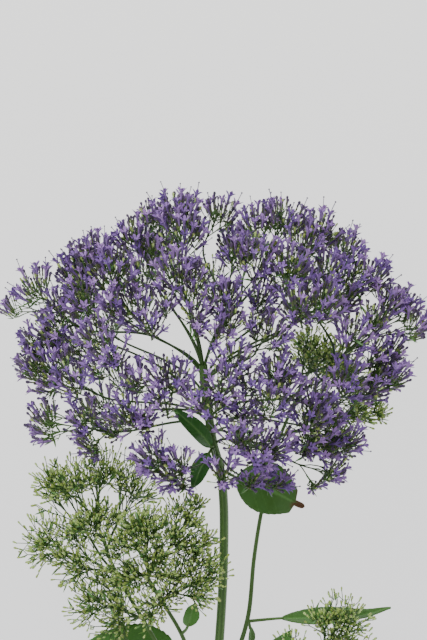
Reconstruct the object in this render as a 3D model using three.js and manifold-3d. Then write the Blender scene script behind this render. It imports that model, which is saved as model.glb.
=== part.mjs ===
// A cut stem of throatwort, lying on a flat surface with its broad flower head raised towards +Z.
// Units are millimetres. +Y runs from the cut end to the head, +X to the right seen from above.
// The origin is on the surface, under the cut end.
//
// One green node holds the stem with the branches that grew from it. Each branch ends in a spray of
// violet florets, a node of its own that meets the branch end face to face. Side shoots with closed
// green buds and the leaves are nodes too. Every placing follows a rule, with its draws seeded.

import * as THREE from "three";
import Module from "manifold-3d";

const wasm = await Module();
wasm.setup();
const { Manifold, Mesh: SolidMesh } = wasm;

// Driving dimensions
const GAP = 0.3; // between two nodes that touch on the real plant
const CLEARANCE = 0.35; // kept between pieces of different nodes
const OWN_CLEARANCE = 0.12; // kept between the florets of one node
const STEM_RADIUS = 1.9;
const STEM_TIP_RADIUS = 1.7;
const STEM_SIDES = 8;
const STEM_STEPS = 12;
const CUT_END = -2; // where the cut end meets the surface, along Y
const CUT_SLOPE = 0.45; // how far the cut end leans, as a share of its height
const BRANCH_RADIUS = 1.25; // where a branch leaves the stem
const NECK_RADIUS = 0.95; // where a branch ends and its spray begins
const BRANCH_SIDES = 3;
const BRANCH_STEPS = 2;
const COLLAR_LENGTH = 1.6; // of the short collar at the foot of each crown of arms
const COLLAR_TAPER = 0.95;
const PEAK_HEIGHT = 0.9; // of the point between the arms
const ARM_RADIUS = 0.8; // kept clear round an arm that carries a fan of florets
const KNOB_RADIUS = 1.1; // of the many-faced knob at an arm's end
const GREEN_KNOB_RADIUS = 0.85;
const FACE_RADIUS = 4.6; // of an open floret, from its middle to the tip of a lobe
const THROAT_RADIUS = 1.65;
const THROAT_RISE = 0.9; // of the floret's middle above the roots of its lobes
const LOBE_RISE = 0.5; // of the tip of a lobe above its root
const LOBES = 5;
const LOBE_ROOM = 0.55; // kept clear round a lobe
const SMALLEST_FLORET = 0.75; // as a share of the full size, where it is cramped
const FLORET_STALK = 1.1; // length of a stalk, as a share of the reach of its fan
const PURPLE_BUD = { radius: 1, length: 3.4 };
const GREEN_BUD = { radius: 1.1, length: 3.6 };
const BUD_EVERY = 3; // one floret in so many is still closed
const SHOOT_RADIUS = 1.3; // of a side shoot's own stem, where it starts
const SHOOT_TIP_RADIUS = 1;
const SHOOT_SIDES = 5;
const LEAF_THICKNESS = 0.8;
const LEAF_FOLD = 0.22; // how far the halves of a blade rise from its rib, as a share of their width
const LEAF_STALK_RADIUS = 0.75;
const TOOTH_LENGTH = 5.6;
const TOOTH_DEPTH = 0.13; // as a share of the half width
const TOOTH_LEAN = 0.8; // of a tooth's point towards the tip
const HEAD_MIDDLE = new THREE.Vector3(0, 205, 45); // the sprays of the head are arranged round it
const FLOOR = 0;
const FLORET_HEIGHT = 0.8; // the least above the surface for the middle of an open floret
const BUD_HEIGHT = 0.5; // the same for the tip of a bud

// The stem's centre line, from the cut end up to the crown where it breaks into branches
const STEM_LINE = [
  [0, -5, 1.5], [0.6, 12, 1.75], [2.3, 48, 8.5], [5, 78, 16], [6.9, 104, 22.5], [7.9, 128, 28.5],
  [7.8, 150, 34], [6.4, 164, 37.5], [3.6, 174, 40], [1.6, 186, 43.5], [0, 197, 46], [-0.8, 208, 48.5],
];

// The sprays of the head. from: how far up the stem the branch starts, or the branch that it forks
// from and where along it, as a share. neck: where the branch ends. faces: the middle of each fan of
// florets, with its reach.
const SPRAYS = [
  { name: "spray_left_outer", from: ["spray_left_upper", 0.55], neck: [-53, 224, 45],
    faces: [[-77, 247, 50, 9], [-86, 235, 42, 6], [-67, 229, 57, 8]] },
  { name: "spray_left_upper", from: 201, neck: [-37, 231, 54],
    faces: [[-52, 259, 60, 12.5], [-58, 241, 67, 9], [-38, 256, 74, 10]] },
  { name: "spray_left_middle", from: 184, neck: [-35, 215, 67],
    faces: [[-51, 224, 80, 9.5], [-40, 214, 90, 8]] },
  { name: "spray_left_lower", from: 182, neck: [-46, 196, 46],
    faces: [[-74, 213, 45, 12], [-60, 206, 63, 9]] },
  { name: "spray_left_foot", draw: 3, from: 179, neck: [-39, 180, 50],
    faces: [[-75, 187, 45, 9.5], [-57, 190, 61, 9], [-53, 172, 54, 6.9]] },
  { name: "spray_left_inner", from: ["spray_left_middle", 0.4], neck: [-24, 186, 62],
    faces: [[-39, 191, 77, 9], [-28, 188, 83, 7]] },
  { name: "spray_heart_left", from: 194, neck: [-16, 197, 66],
    faces: [[-22, 208, 89, 9], [-10, 205, 90, 6.9], [-33, 205, 82, 6.9]] },
  { name: "spray_inner_left", draw: 3, from: 204, neck: [-24, 222, 53],
    faces: [[-31, 239, 74, 10], [-22, 227, 82, 6.5]] },
  { name: "spray_top_left", from: 206, neck: [-24, 250, 49],
    faces: [[-36, 269, 53, 9.5], [-25, 279, 49, 9.5]] },
  { name: "spray_top", from: 208, neck: [-11, 254, 51],
    faces: [[-12, 282, 53, 11], [-8, 269, 72, 9.5]] },
  { name: "spray_top_twig", from: ["spray_top_inner", 0.6], neck: [0, 260, 37],
    faces: [[9, 279, 37, 8]] },
  { name: "spray_upper_heart", from: 206, neck: [-6, 228, 57],
    faces: [[-14, 254, 81, 10], [-2, 251, 83, 8], [-4, 236, 88, 8.5]] },
  { name: "spray_right_heart", from: 203, neck: [5, 221, 58],
    faces: [[8, 241, 84, 8.5], [12, 229, 89, 7]] },
  { name: "spray_top_inner", draw: 3, from: 205, neck: [15, 236, 52],
    faces: [[10, 260, 69, 9.5], [24, 260, 76, 10]] },
  { name: "spray_top_right", from: ["spray_top_inner", 0.75], neck: [26, 250, 46],
    faces: [[21, 279, 47, 10], [36, 281, 50, 11]] },
  { name: "spray_right_crown", from: 199, neck: [34, 238, 54],
    faces: [[44, 268, 61, 9.5], [35, 255, 79, 10]] },
  { name: "spray_right_shoulder", from: 197, neck: [48, 234, 47],
    faces: [[62, 265, 47, 9], [68, 252, 56, 9.5], [52, 254, 67, 8]] },
  { name: "spray_right_middle", from: ["spray_right_outer", 0.93], neck: [48, 226, 57],
    faces: [[49, 240, 79, 10], [36, 236, 84, 8]] },
  { name: "spray_right_outer", from: 188, neck: [57, 211, 47],
    faces: [[88, 239, 43, 8], [77, 234, 57, 9], [64, 226, 68, 9]] },
  { name: "spray_right_lower", draw: 3, from: ["spray_right_outer", 0.75], neck: [52, 200, 48],
    faces: [[64, 205, 68, 9], [80, 203, 50, 9.5], [84, 219, 47, 7.2]] },
  { name: "spray_middle_right", from: 198, neck: [21, 213, 62],
    faces: [[31, 226, 85, 9], [21, 229, 86, 6.9]] },
  { name: "spray_heart_right", from: 192, neck: [6, 200, 68],
    faces: [[14, 214, 96, 9.5], [7, 200, 104, 8.5], [-5, 194, 100, 7.5]] },
  { name: "spray_low_heart", from: 187, neck: [24, 196, 66],
    faces: [[34, 211, 88, 8.5], [39, 200, 86, 8], [27, 193, 99, 9]] },
  { name: "spray_low_right", draw: 3, from: 179, neck: [39, 183, 58],
    faces: [[46, 190, 80, 9], [60, 179, 58, 9], [48, 176, 74, 8]] },
  { name: "spray_low_twig", from: 173, neck: [38, 167, 53],
    faces: [[60, 164, 55, 7], [50, 156, 49, 5]] },
  { name: "spray_low_front", from: 176, neck: [17, 177, 70],
    faces: [[12, 181, 98, 8], [25, 171, 92, 9.5], [36, 176, 85, 8]] },
  { name: "spray_skirt_right", from: 168, neck: [15, 162, 58],
    faces: [[30, 155, 69, 9], [21, 161, 76, 6]] },
  { name: "spray_skirt_middle", from: 171, neck: [6, 165, 62],
    faces: [[9, 163, 80, 7.5]] },
  { name: "spray_skirt_left", from: 166, neck: [-6, 165, 56],
    faces: [[-13, 168, 72, 8], [-29, 173, 65, 9], [-12, 155, 60, 6]] },
  { name: "spray_back_top_left", from: 203, neck: [-17, 238, 31],
    faces: [[-19, 265, 22, 9.5], [-33, 250, 12, 9]] },
  { name: "spray_back_left", from: 193, neck: [-37, 219, 29],
    faces: [[-57, 241, 25, 9.5], [-60, 216, 15, 9.5], [-41, 231, 2.5, 8.1]] },
  { name: "spray_back_low_left", draw: 3, from: 183, neck: [-33, 190, 30],
    faces: [[-51, 190, 18, 9], [-37, 206, 6, 7.2]] },
  { name: "spray_back_top", from: 202, neck: [10, 240, 28],
    faces: [[15, 267, 20, 9.5], [0, 247, 2.5, 9]] },
  { name: "spray_back_right", from: 196, neck: [37, 226, 27],
    faces: [[43, 254, 21, 9.5], [61, 239, 18, 9], [42, 238, 2.5, 8.5]] },
  { name: "spray_back_low_right", from: 184, neck: [36, 194, 30],
    faces: [[55, 187, 24, 8], [27, 206, 8, 7]] },
  { name: "spray_back_low", from: 176, neck: [12, 181, 27],
    faces: [[22, 176, 10, 8.5]] },
];

// Side shoots with closed buds. line: the shoot's own centre line, from inside the stem. forks: the
// twigs on it, each with its start as a share of the line and its fans.
const SHOOTS = [
  { name: "bud_shoot_left",
    line: [[2.6, 58, 10.5], [-3.5, 76, 19], [-10, 94, 27], [-18, 108, 35], [-25, 120, 42]],
    forks: [
      { at: 0.97, faces: [[-24, 146, 62, 13], [-5, 144, 51, 12.5], [-42, 140, 53, 11.5]] },
      { at: 0.8, faces: [[5, 123, 48, 12], [-2, 104, 47, 10], [-28, 100, 51, 9.5]] },
    ] },
  { name: "bud_shoot_left_outer",
    line: [[1, 52, 9.2], [-11.5, 74, 15], [-24, 96, 22], [-36, 117, 29], [-42, 130, 33]],
    forks: [
      { at: 0.97, faces: [[-59, 169, 36, 13], [-41, 174, 41, 12.5], [-26, 165, 31, 11]] },
      { at: 0.86, faces: [[-78, 138, 32, 12], [-62, 127, 44, 11], [-75, 159, 25, 10.5]] },
      { at: 0.62, faces: [[-57, 113, 37, 12], [-46, 96, 27, 11]] },
    ] },
  { name: "bud_shoot_right",
    line: [[4.6, 70, 14], [13.5, 86, 18], [18.2, 101, 19], [20.8, 126, 19], [24.2, 147, 18], [30, 172, 14],
      [38, 192, 13]],
    forks: [
      { at: 0.97, faces: [[49, 219, 16, 11], [64, 215, 10, 10]] },
      { at: 0.88, faces: [[72, 194, 25, 11], [66, 177, 17, 10]] },
    ] },
  { name: "bud_shoot_low",
    line: [[4, 60, 11.5], [21, 66, 14], [38, 74, 19], [49, 84, 25]],
    forks: [
      { at: 0.97, faces: [[47, 108, 39, 11.5], [64, 110, 34, 11.5], [70, 93, 30, 10.5]] },
      { at: 0.75, faces: [[36, 94, 35, 9.5]] },
    ] },
];

// Leaves. on: the node that carries the leaf, root: where its stalk starts inside that, foot: where the
// blade starts, tip: where it ends, face: the way its upper side looks, bend: how far its middle rises
// that way.
const LEAVES = [
  { name: "leaf_crown_left", on: "stem", root: [3.6, 174, 40],
    foot: [0.6, 173, 46], tip: [-14, 190, 55], width: 9.5, face: [-0.5, -0.5, 1], bend: 1.5 },
  { name: "leaf_crown_low", on: "stem", root: [3, 172.5, 40.2],
    foot: [-0.8, 169, 43], tip: [-5, 152.5, 47.5], width: 8.5, face: [-0.7, 0.1, 0.8], bend: 2 },
  { name: "leaf_crown_right", on: "stem", root: [6.4, 164, 37.5],
    foot: [12, 161, 34], tip: [41.5, 148, 28], width: 17.5, face: [0.15, 0.2, 1], bend: 4 },
  { name: "leaf_right_long", on: "bud_shoot_right", root: [18.2, 101, 19],
    foot: [32.5, 101, 17], tip: [78, 107, 19], width: 13, face: [-0.05, 1, 0.42], bend: -1 },
  { name: "leaf_right_small", on: "bud_shoot_right", root: [18, 100, 19],
    foot: [19.2, 97, 17], tip: [17.6, 83, 10], width: 6, face: [0.9, 0, 0.4], bend: 1 },
  { name: "leaf_low_right", on: "stem", root: [4.3, 68, 13.2],
    foot: [18, 74, 7.5], tip: [36, 97, 6], width: 11, face: [-0.2, 0.1, 1], bend: 2 },
  { name: "leaf_low_left", on: "stem", root: [2, 40, 6.9],
    foot: [-10, 73, 6], tip: [-62, 86, 3], width: 38, face: [0, 0.06, 1], bend: 4 },
  { name: "leaf_shoot_left", on: "bud_shoot_left", root: [-10, 94, 27],
    foot: [-7.2, 97.5, 34], tip: [-5, 108.5, 37], width: 7.5, face: [0.4, 0, 1], bend: 1 },
];

// The same random draws on every run
function dice(seed) {
  let state = seed;
  return () => {
    state = (state + 0x6d2b79f5) | 0;
    let t = Math.imul(state ^ (state >>> 15), 1 | state);
    t = (t + Math.imul(t ^ (t >>> 7), 61 | t)) ^ t;
    return ((t ^ (t >>> 14)) >>> 0) / 4294967296;
  };
}

const vec = (p) => new THREE.Vector3(p[0], p[1], p[2]);
const along = (a, b, share) => a.clone().lerp(b, share);
const towards = (a, b) => b.clone().sub(a).normalize();

// Two directions square to the first
function crossways(direction) {
  const helper = Math.abs(direction.z) < 0.9 ? new THREE.Vector3(0, 0, 1) : new THREE.Vector3(1, 0, 0);
  const side = new THREE.Vector3().crossVectors(direction, helper).normalize();
  return [side, new THREE.Vector3().crossVectors(direction, side).normalize()];
}

// The closed solid of a list of points and triangles
function solidOf(points, triangles) {
  const vertProperties = new Float32Array(points.flatMap((p) => [p.x, p.y, p.z]));
  const triVerts = new Uint32Array(triangles.flat());
  return new Manifold(new SolidMesh({ numProp: 3, vertProperties, triVerts }));
}

// The point at an angle on a circle that lies in two axes
function onCircle(centre, axes, radius, angle) {
  return centre.clone()
    .addScaledVector(axes[0], radius * Math.cos(angle)).addScaledVector(axes[1], radius * Math.sin(angle));
}

function ring(centre, axes, radius, sides) {
  return Array.from({ length: sides }, (_, i) => onCircle(centre, axes, radius, (2 * Math.PI * i) / sides));
}

// A closed solid through rings of points, each with as many points as the next or with one
function loft(rings) {
  const points = rings.flat();
  const starts = rings.map((_, i) => rings.slice(0, i).reduce((n, r) => n + r.length, 0));
  const triangles = [];
  const cap = (start, count, flip) => {
    for (let i = 1; i < count - 1; i++)
      triangles.push(flip ? [start, start + i + 1, start + i] : [start, start + i, start + i + 1]);
  };
  cap(starts[0], rings[0].length, true);
  for (let r = 0; r < rings.length - 1; r++) {
    const [a, b] = [starts[r], starts[r + 1]];
    const [m, n] = [rings[r].length, rings[r + 1].length];
    for (let i = 0; i < Math.max(m, n); i++) {
      const j = (i + 1) % Math.max(m, n);
      if (m > 1) triangles.push([a + i, a + j, b + (n > 1 ? j : 0)]);
      if (n > 1) triangles.push([a + (m > 1 ? i : 0), b + j, b + i]);
    }
  }
  cap(starts.at(-1), rings.at(-1).length, false);
  return solidOf(points, triangles);
}

// Capsules stand for what is already placed, so that nothing of another node is put through it
const placed = [];

function place(node, a, b, radius, group = node) {
  placed.push({ node, a: a.clone(), b: b.clone(), radius, group });
}

// The distance between two straight pieces
function distance(a, b, c, d) {
  const u = b.clone().sub(a);
  const v = d.clone().sub(c);
  const w = a.clone().sub(c);
  const [uu, uv, vv, uw, vw] = [u.dot(u), u.dot(v), v.dot(v), u.dot(w), v.dot(w)];
  const det = uu * vv - uv * uv;
  const clamp = (x) => Math.min(1, Math.max(0, x));
  let s = det > 1e-9 ? clamp((uv * vw - vv * uw) / det) : 0;
  let t = vv > 0 ? clamp((uv * s + vw) / vv) : 0;
  s = uu > 0 ? clamp((uv * t - uw) / uu) : 0;
  return w.addScaledVector(u, s).addScaledVector(v, -t).length();
}

// Whether a straight piece keeps clear of everything that isn't of its own group
function isFree(node, a, b, radius, group) {
  return placed.every((c) => {
    if (c.group === group) return true;
    const room = c.node === node ? OWN_CLEARANCE : CLEARANCE;
    return distance(a, b, c.a, c.b) > c.radius + radius + room;
  });
}

// A tapering limb along a curve. Its last stretch can stay out of the list of capsules.
function limb(node, curve, radii, sides, steps, unlisted = 0) {
  const frames = curve.computeFrenetFrames(steps, false);
  const centres = Array.from({ length: steps + 1 }, (_, i) => curve.getPointAt(i / steps));
  const radius = (i) => THREE.MathUtils.lerp(radii[0], radii[1], i / steps);
  for (let i = 0; i < steps; i++) {
    const end = i === steps - 1 ? along(centres[i + 1], centres[i], unlisted) : centres[i + 1];
    place(node, centres[i], end, radius(i));
  }
  return loft(centres.map((c, i) => ring(c, [frames.normals[i], frames.binormals[i]], radius(i), sides)));
}

// A branch's curve: it leaves its carrier at a slant and comes into the neck along the spray
function branchCurve(start, startWay, neck, neckWay) {
  const reach = start.distanceTo(neck);
  return new THREE.CubicBezierCurve3(
    start,
    start.clone().addScaledVector(startWay, 0.3 * reach).addScaledVector(towards(start, neck), 0.1 * reach),
    neck.clone().addScaledVector(neckWay, -0.3 * reach),
    neck,
  );
}

// The way that a spray looks, from its neck to the middle of its fans
function sprayWay(spray) {
  const middle = new THREE.Vector3();
  for (const face of spray.faces) middle.add(vec(face).multiplyScalar(1 / spray.faces.length));
  return towards(vec(spray.neck), middle);
}

// The angles round a ring, counted on from one of its points until that point comes again
function unroll(angles, start) {
  const full = 2 * Math.PI;
  const unrolled = [angles[start]];
  for (let i = 1; i <= angles.length; i++) {
    const step = angles[(start + i) % angles.length] - angles[(start + i - 1) % angles.length];
    unrolled.push(unrolled.at(-1) + ((((step % full) + full) % full) || full));
  }
  return unrolled;
}

// The difference between two angles, within half a turn
const turnBetween = (a, b) => a - b - 2 * Math.PI * Math.round((a - b) / (2 * Math.PI));

// A closed mesh that is put together from rings of points and the bands of triangles between them
class Shell {
  points = [];
  triangles = [];

  point(p) {
    return this.points.push(p) - 1;
  }

  ring(centre, axes, radius, sides, turn) {
    const angles = Array.from({ length: sides }, (_, i) => turn + (2 * Math.PI * i) / sides);
    const ids = angles.map((a) => this.point(onCircle(centre, axes, radius, a)));
    return { ids, angles };
  }

  // The corners of a triangle as a ring
  ringOf(triangle, axes) {
    const middle = this.middleOf(triangle);
    const angles = triangle.map((id) => {
      const out = this.points[id].clone().sub(middle);
      return Math.atan2(out.dot(axes[1]), out.dot(axes[0]));
    });
    return { ids: triangle, angles };
  }

  middleOf(triangle) {
    return triangle.reduce((sum, id) => sum.addScaledVector(this.points[id], 1 / 3), new THREE.Vector3());
  }

  facing(triangle) {
    const [a, b, c] = triangle.map((id) => this.points[id]);
    return new THREE.Vector3().crossVectors(b.clone().sub(a), c.clone().sub(a)).normalize();
  }

  // The band of triangles from a lower ring to an upper one, or the cone to one point
  between(lower, upper) {
    const [m, n] = [lower.ids.length, upper.ids.length];
    const apart = (a) => Math.abs(turnBetween(a, lower.angles[0]));
    const first = upper.angles.reduce((best, a, k) => (apart(a) < apart(upper.angles[best]) ? k : best), 0);
    const below = unroll(lower.angles, 0);
    const shift = turnBetween(upper.angles[first], lower.angles[0]) + lower.angles[0] - upper.angles[first];
    const above = unroll(upper.angles, first).map((a) => a + shift);
    const band = [];
    let [i, j] = [0, 0];
    while (i < m || (n > 1 && j < n)) {
      const [a, b] = [lower.ids[i % m], upper.ids[(first + j) % n]];
      const onLower = n === 1 || j >= n || (i < m && below[i] + below[i + 1] < above[j] + above[j + 1]);
      if (onLower) {
        band.push([a, lower.ids[(i + 1) % m], b]);
        i += 1;
      } else {
        band.push([a, upper.ids[(first + j + 1) % n], b]);
        j += 1;
      }
    }
    return band;
  }

  add(band) {
    this.triangles.push(...band);
  }

  solid() {
    return solidOf(this.points, this.triangles);
  }
}

// An open floret: a stalk that grows out of a triangle, widens to a tube and ends in a star of lobes
function growStar(shell, triangle, star) {
  const foot = shell.ringOf(triangle, star.axes);
  const roots = shell.ring(star.face, star.axes, THROAT_RADIUS * star.size, LOBES, star.spin);
  const tips = star.tips.map((p) => shell.point(p));
  const middle = shell.point(star.middle);
  shell.add(shell.between(foot, roots));
  roots.ids.forEach((root, i) => {
    const next = roots.ids[(i + 1) % LOBES];
    shell.add([[root, next, tips[i]], [root, tips[i], middle], [tips[i], next, middle]]);
  });
}

// A closed bud on a stalk that grows out of a triangle
function growBud(shell, triangle, bud) {
  const foot = shell.ringOf(triangle, bud.axes);
  const swell = shell.ring(bud.swell, bud.axes, bud.radius, 3, foot.angles[0]);
  const tip = { ids: [shell.point(bud.tip)], angles: [0] };
  shell.add(shell.between(foot, swell));
  shell.add(shell.between(swell, tip));
}

// Where the parts of an open floret come, which turns its face somewhat to the light if the triangle
// that it grows from looks that way too
function starAt(root, face, facing, spin, size) {
  const straight = towards(root, face);
  const leaning = straight.clone().add(sunward(face)).normalize();
  const way = facing.dot(leaning) > 0.3 ? leaning : straight;
  const axes = crossways(way);
  const step = (2 * Math.PI) / LOBES;
  const tips = Array.from({ length: LOBES }, (_, i) => (
    onCircle(face, axes, FACE_RADIUS * size, spin + step * (i + 0.5)).addScaledVector(way, LOBE_RISE * size)
  ));
  return { face, spin, size, axes, tips, middle: face.clone().addScaledVector(way, THROAT_RISE * size) };
}

function sunward(face) {
  const outward = towards(HEAD_MIDDLE, face).multiplyScalar(0.35);
  if (face.z > HEAD_MIDDLE.z - 10) outward.z += 0.3;
  return outward;
}

// The knobs that the florets of a fan grow out of: levels are [corners, radius, height, turn], and
// tilts are the slants of the florets on the top and on the band round it
const TURN = Math.PI / 3;
const SMALL_KNOB = { levels: [[3, 0.7, 0, 0], [1, 0, 0.7, 0]], tilts: [0.42] };
const MIDDLE_KNOB = { levels: [[3, 1.1, 0, 0], [3, 0.45, 0.55, TURN]], tilts: [0.74, 0] };
const LARGE_KNOB = { levels: [[6, 1.35, 0, 0], [3, 0.75, 0.75, 0], [1, 0, 1, 0]], tilts: [1, 0.36] };

// Which knob an arm has, from the least reach for each
const KNOBS = { radius: KNOB_RADIUS, sorts: [[0, SMALL_KNOB], [6.8, MIDDLE_KNOB], [10, LARGE_KNOB]] };
const GREEN_KNOBS = { radius: GREEN_KNOB_RADIUS, sorts: [[0, MIDDLE_KNOB], [8, LARGE_KNOB]] };

// An arm that grows from a ring of the shell to a knob, with one place for a floret on each face
function growArm(node, shell, foot, footCentre, face, knobs, random) {
  const centre = vec(face);
  const length = FLORET_STALK * face[3];
  const [, knob] = knobs.sorts.findLast(([least]) => least <= face[3]);
  const way = towards(footCentre, centre);
  const axes = crossways(way);
  const hub = centre.clone().addScaledVector(way, -length);
  const turn = 2 * Math.PI * random();
  const rings = knob.levels.map(([corners, radius, height, twist]) => (
    shell.ring(hub.clone().addScaledVector(way, height), axes, knobs.radius * radius, corners, turn + twist)
  ));
  const footRing = foot.angles ? foot : shell.ringOf(foot, axes);
  shell.add(shell.between(footRing, rings[0]));
  const arm = { places: [] };
  place(node, along(footCentre, hub, 0.2), hub, ARM_RADIUS, arm);
  place(node, hub, hub, knobs.radius, arm);
  const open = rings.slice(1).map((ring, i) => shell.between(rings[i], ring));
  const top = rings.at(-1);
  if (top.ids.length === 3) open.push([top.ids]);
  open.forEach((band, i) => {
    arm.places.push(...slantedTips(shell, band, hub, way, axes, length, knob.tilts[i], random));
  });
  return arm;
}

const ORDERS = [[0, 1, 2], [1, 2, 0], [2, 0, 1], [0, 2, 1], [2, 1, 0], [1, 0, 2]];

// How far each arm leaves from the way that its face of the crown looks, at the best turn and order
function bestTurn(top, axes, faces) {
  const aims = faces.map((face) => {
    const aim = vec(face).sub(top).normalize();
    const [x, y] = [aim.dot(axes[0]), aim.dot(axes[1])];
    return { angle: Math.atan2(y, x), slant: Math.hypot(x, y) };
  });
  let best = { cost: Infinity };
  for (let k = 0; k < 24; k++) {
    const turn = (k / 24) * 2 * TURN;
    for (const order of ORDERS) {
      const cost = aims.reduce((sum, { angle, slant }, i) => {
        return sum + slant * turnBetween(angle, turn + TURN * (1 + 2 * order[i])) ** 2;
      }, 0);
      if (cost < best.cost) best = { cost, turn, order };
    }
  }
  return best;
}

// A crown: a short collar out of which up to three arms grow, all in one mesh
function buildCrown(node, foot, way, radius, faces, knobs, random) {
  const shell = new Shell();
  const axes = crossways(way);
  const top = foot.clone().addScaledVector(way, COLLAR_LENGTH);
  const { turn, order } = faces.length > 1 ? bestTurn(top, axes, faces) : { turn: 0, order: [0] };
  const footRing = shell.ring(foot, axes, radius, 3, turn);
  shell.add([[footRing.ids[0], footRing.ids[2], footRing.ids[1]]]);
  const collar = shell.ring(top, axes, radius * COLLAR_TAPER, 3, turn);
  shell.add(shell.between(footRing, collar));
  if (faces.length === 1) {
    return { shell, arms: [growArm(node, shell, collar, top, faces[0], knobs, random)] };
  }
  const peak = { ids: [shell.point(top.clone().addScaledVector(way, PEAK_HEIGHT))], angles: [turn] };
  const sides = shell.between(collar, peak);
  const middles = sides.map((side) => shell.middleOf(side));
  const arms = faces.map((face, i) => (
    growArm(node, shell, sides[order[i]], middles[order[i]], face, knobs, random)
  ));
  sides.forEach((side, i) => {
    if (!order.slice(0, faces.length).includes(i)) shell.add([side]);
  });
  return { shell, arms };
}

// Even places round the hub for the florets on a band of triangles, in the order of the triangles
function slantedTips(shell, band, hub, way, axes, length, tilt, random) {
  const around = band.map((triangle) => {
    const out = shell.middleOf(triangle).sub(hub);
    return { triangle, angle: Math.atan2(out.dot(axes[1]), out.dot(axes[0])) };
  }).sort((a, b) => a.angle - b.angle);
  const evenly = (i) => (2 * Math.PI * i) / around.length;
  const shift = around.reduce((sum, { angle }, i) => sum + angle - evenly(i), 0) / around.length;
  return around.map(({ triangle }, i) => {
    const angle = shift + evenly(i + 0.3 * (random() - 0.5));
    const slant = tilt * (1 + 0.24 * (random() - 0.5));
    const reach = length * (1 + 0.22 * (random() - 0.5));
    const tip = onCircle(hub, axes, reach * Math.sin(slant), angle);
    return { triangle, tip: tip.addScaledVector(way, reach * Math.cos(slant)) };
  });
}

// The thin and the wide stretch of a floret's tube, with the radius of each
function tubeOf(root, face, size) {
  const [near, far] = [along(root, face, 0.1), along(root, face, 0.75)];
  return [[near, far, 0.55 * THROAT_RADIUS * size], [far, face, 0.9 * THROAT_RADIUS * size]];
}

// What is tried for an open floret: [turn, size]
const TURNS_AND_SIZES = [
  [0, 1], [0.4, 1], [0.8, 1], [0.2, 0.87], [0.6, 0.87], [1, SMALLEST_FLORET], [1.3, SMALLEST_FLORET],
];

// Grows an open floret or a bud where it keeps clear of everything else, drawn in or turned until it
// does. Where nothing fits, the face of the knob stays as it is.
function growClear(node, shell, arm, { triangle, tip }, open, bud, random) {
  const root = shell.middleOf(triangle);
  const facing = shell.facing(triangle);
  const spin = 2 * Math.PI * random();
  for (const pull of open ? [1, 0.9, 1.1, 0.8] : []) {
    const face = along(root, tip, pull);
    if (face.z < FLOOR + FLORET_HEIGHT) continue;
    for (const [turn, size] of TURNS_AND_SIZES) {
      const star = starAt(root, face, facing, spin + turn, size);
      const [thin, wide] = tubeOf(root, face, size);
      if (!isFree(node, ...thin, arm) || !isFree(node, ...wide)) continue;
      if (!star.tips.every((p) => isFree(node, star.middle, p, LOBE_ROOM))) continue;
      growStar(shell, triangle, star);
      place(node, ...thin, arm);
      place(node, ...wide, star);
      for (const p of star.tips) place(node, star.middle, p, LOBE_ROOM, star);
      return;
    }
  }
  for (const pull of [0.95, 0.85, 0.7, 0.55]) {
    const end = along(root, tip, pull);
    const way = towards(root, end);
    const swell = end.clone().addScaledVector(way, -0.55 * bud.length);
    const [stalk, body] = [[along(root, swell, 0.1), swell, 0.6 * bud.radius], [swell, end, bud.radius]];
    if (end.z < FLOOR + BUD_HEIGHT || !isFree(node, ...stalk, arm) || !isFree(node, ...body)) continue;
    const grown = { tip: end, radius: bud.radius, axes: crossways(way), swell };
    growBud(shell, triangle, grown);
    place(node, ...stalk, arm);
    place(node, ...body, grown);
    return;
  }
  shell.add([triangle]);
}

// Joins solids to one body above the surface, without loose scraps
function fuse(solids) {
  const whole = Manifold.union(solids).trimByPlane([0, 0, 1], FLOOR);
  return whole.decompose().sort((a, b) => b.volume() - a.volume())[0];
}

function geometryOf(solid) {
  const mesh = solid.getMesh();
  const geometry = new THREE.BufferGeometry();
  geometry.setAttribute("position", new THREE.BufferAttribute(mesh.vertProperties, 3));
  geometry.setIndex(new THREE.BufferAttribute(mesh.triVerts, 1));
  geometry.computeVertexNormals();
  return geometry;
}

// The stem and its branches
const stemCurve = new THREE.CatmullRomCurve3(STEM_LINE.map(vec));

// The share of the stem's length at which it has come this far along Y
function stemShare(y) {
  let [low, high] = [0, 1];
  while (high - low > 1e-4) {
    const middle = (low + high) / 2;
    if (stemCurve.getPointAt(middle).y < y) low = middle;
    else high = middle;
  }
  return low;
}

// The point of a limb at a share of its curve, on the straight pieces that it is made of
function limbPoint(curve, steps, share) {
  const step = Math.min(steps - 1, Math.floor(share * steps));
  return along(curve.getPointAt(step / steps), curve.getPointAt((step + 1) / steps), share * steps - step);
}

const branchCurves = new Map();

function curveOf(spray) {
  if (branchCurves.has(spray.name)) return branchCurves.get(spray.name);
  const forks = Array.isArray(spray.from);
  const carrier = forks ? curveOf(SPRAYS.find((s) => s.name === spray.from[0])) : stemCurve;
  const share = forks ? spray.from[1] : stemShare(spray.from);
  const start = limbPoint(carrier, forks ? BRANCH_STEPS : STEM_STEPS, share);
  const curve = branchCurve(start, carrier.getTangentAt(share), vec(spray.neck), sprayWay(spray));
  branchCurves.set(spray.name, curve);
  return curve;
}

function buildStem() {
  const parts = [limb("stem", stemCurve, [STEM_RADIUS, STEM_TIP_RADIUS], STEM_SIDES, STEM_STEPS)];
  for (const spray of SPRAYS)
    parts.push(limb("stem", curveOf(spray), [BRANCH_RADIUS, NECK_RADIUS], BRANCH_SIDES, BRANCH_STEPS, 0.35));
  const cut = new THREE.Vector3(0, 1, -CUT_SLOPE).normalize();
  return fuse(parts).trimByPlane(cut.toArray(), cut.dot(new THREE.Vector3(0, CUT_END, 0)));
}

// The crown of a spray, the gap away from its branch end
function buildSpray(spray, random) {
  const way = sprayWay(spray);
  const foot = vec(spray.neck).addScaledVector(way, GAP);
  return [buildCrown(spray.name, foot, way, NECK_RADIUS, spray.faces, KNOBS, random)];
}

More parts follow.
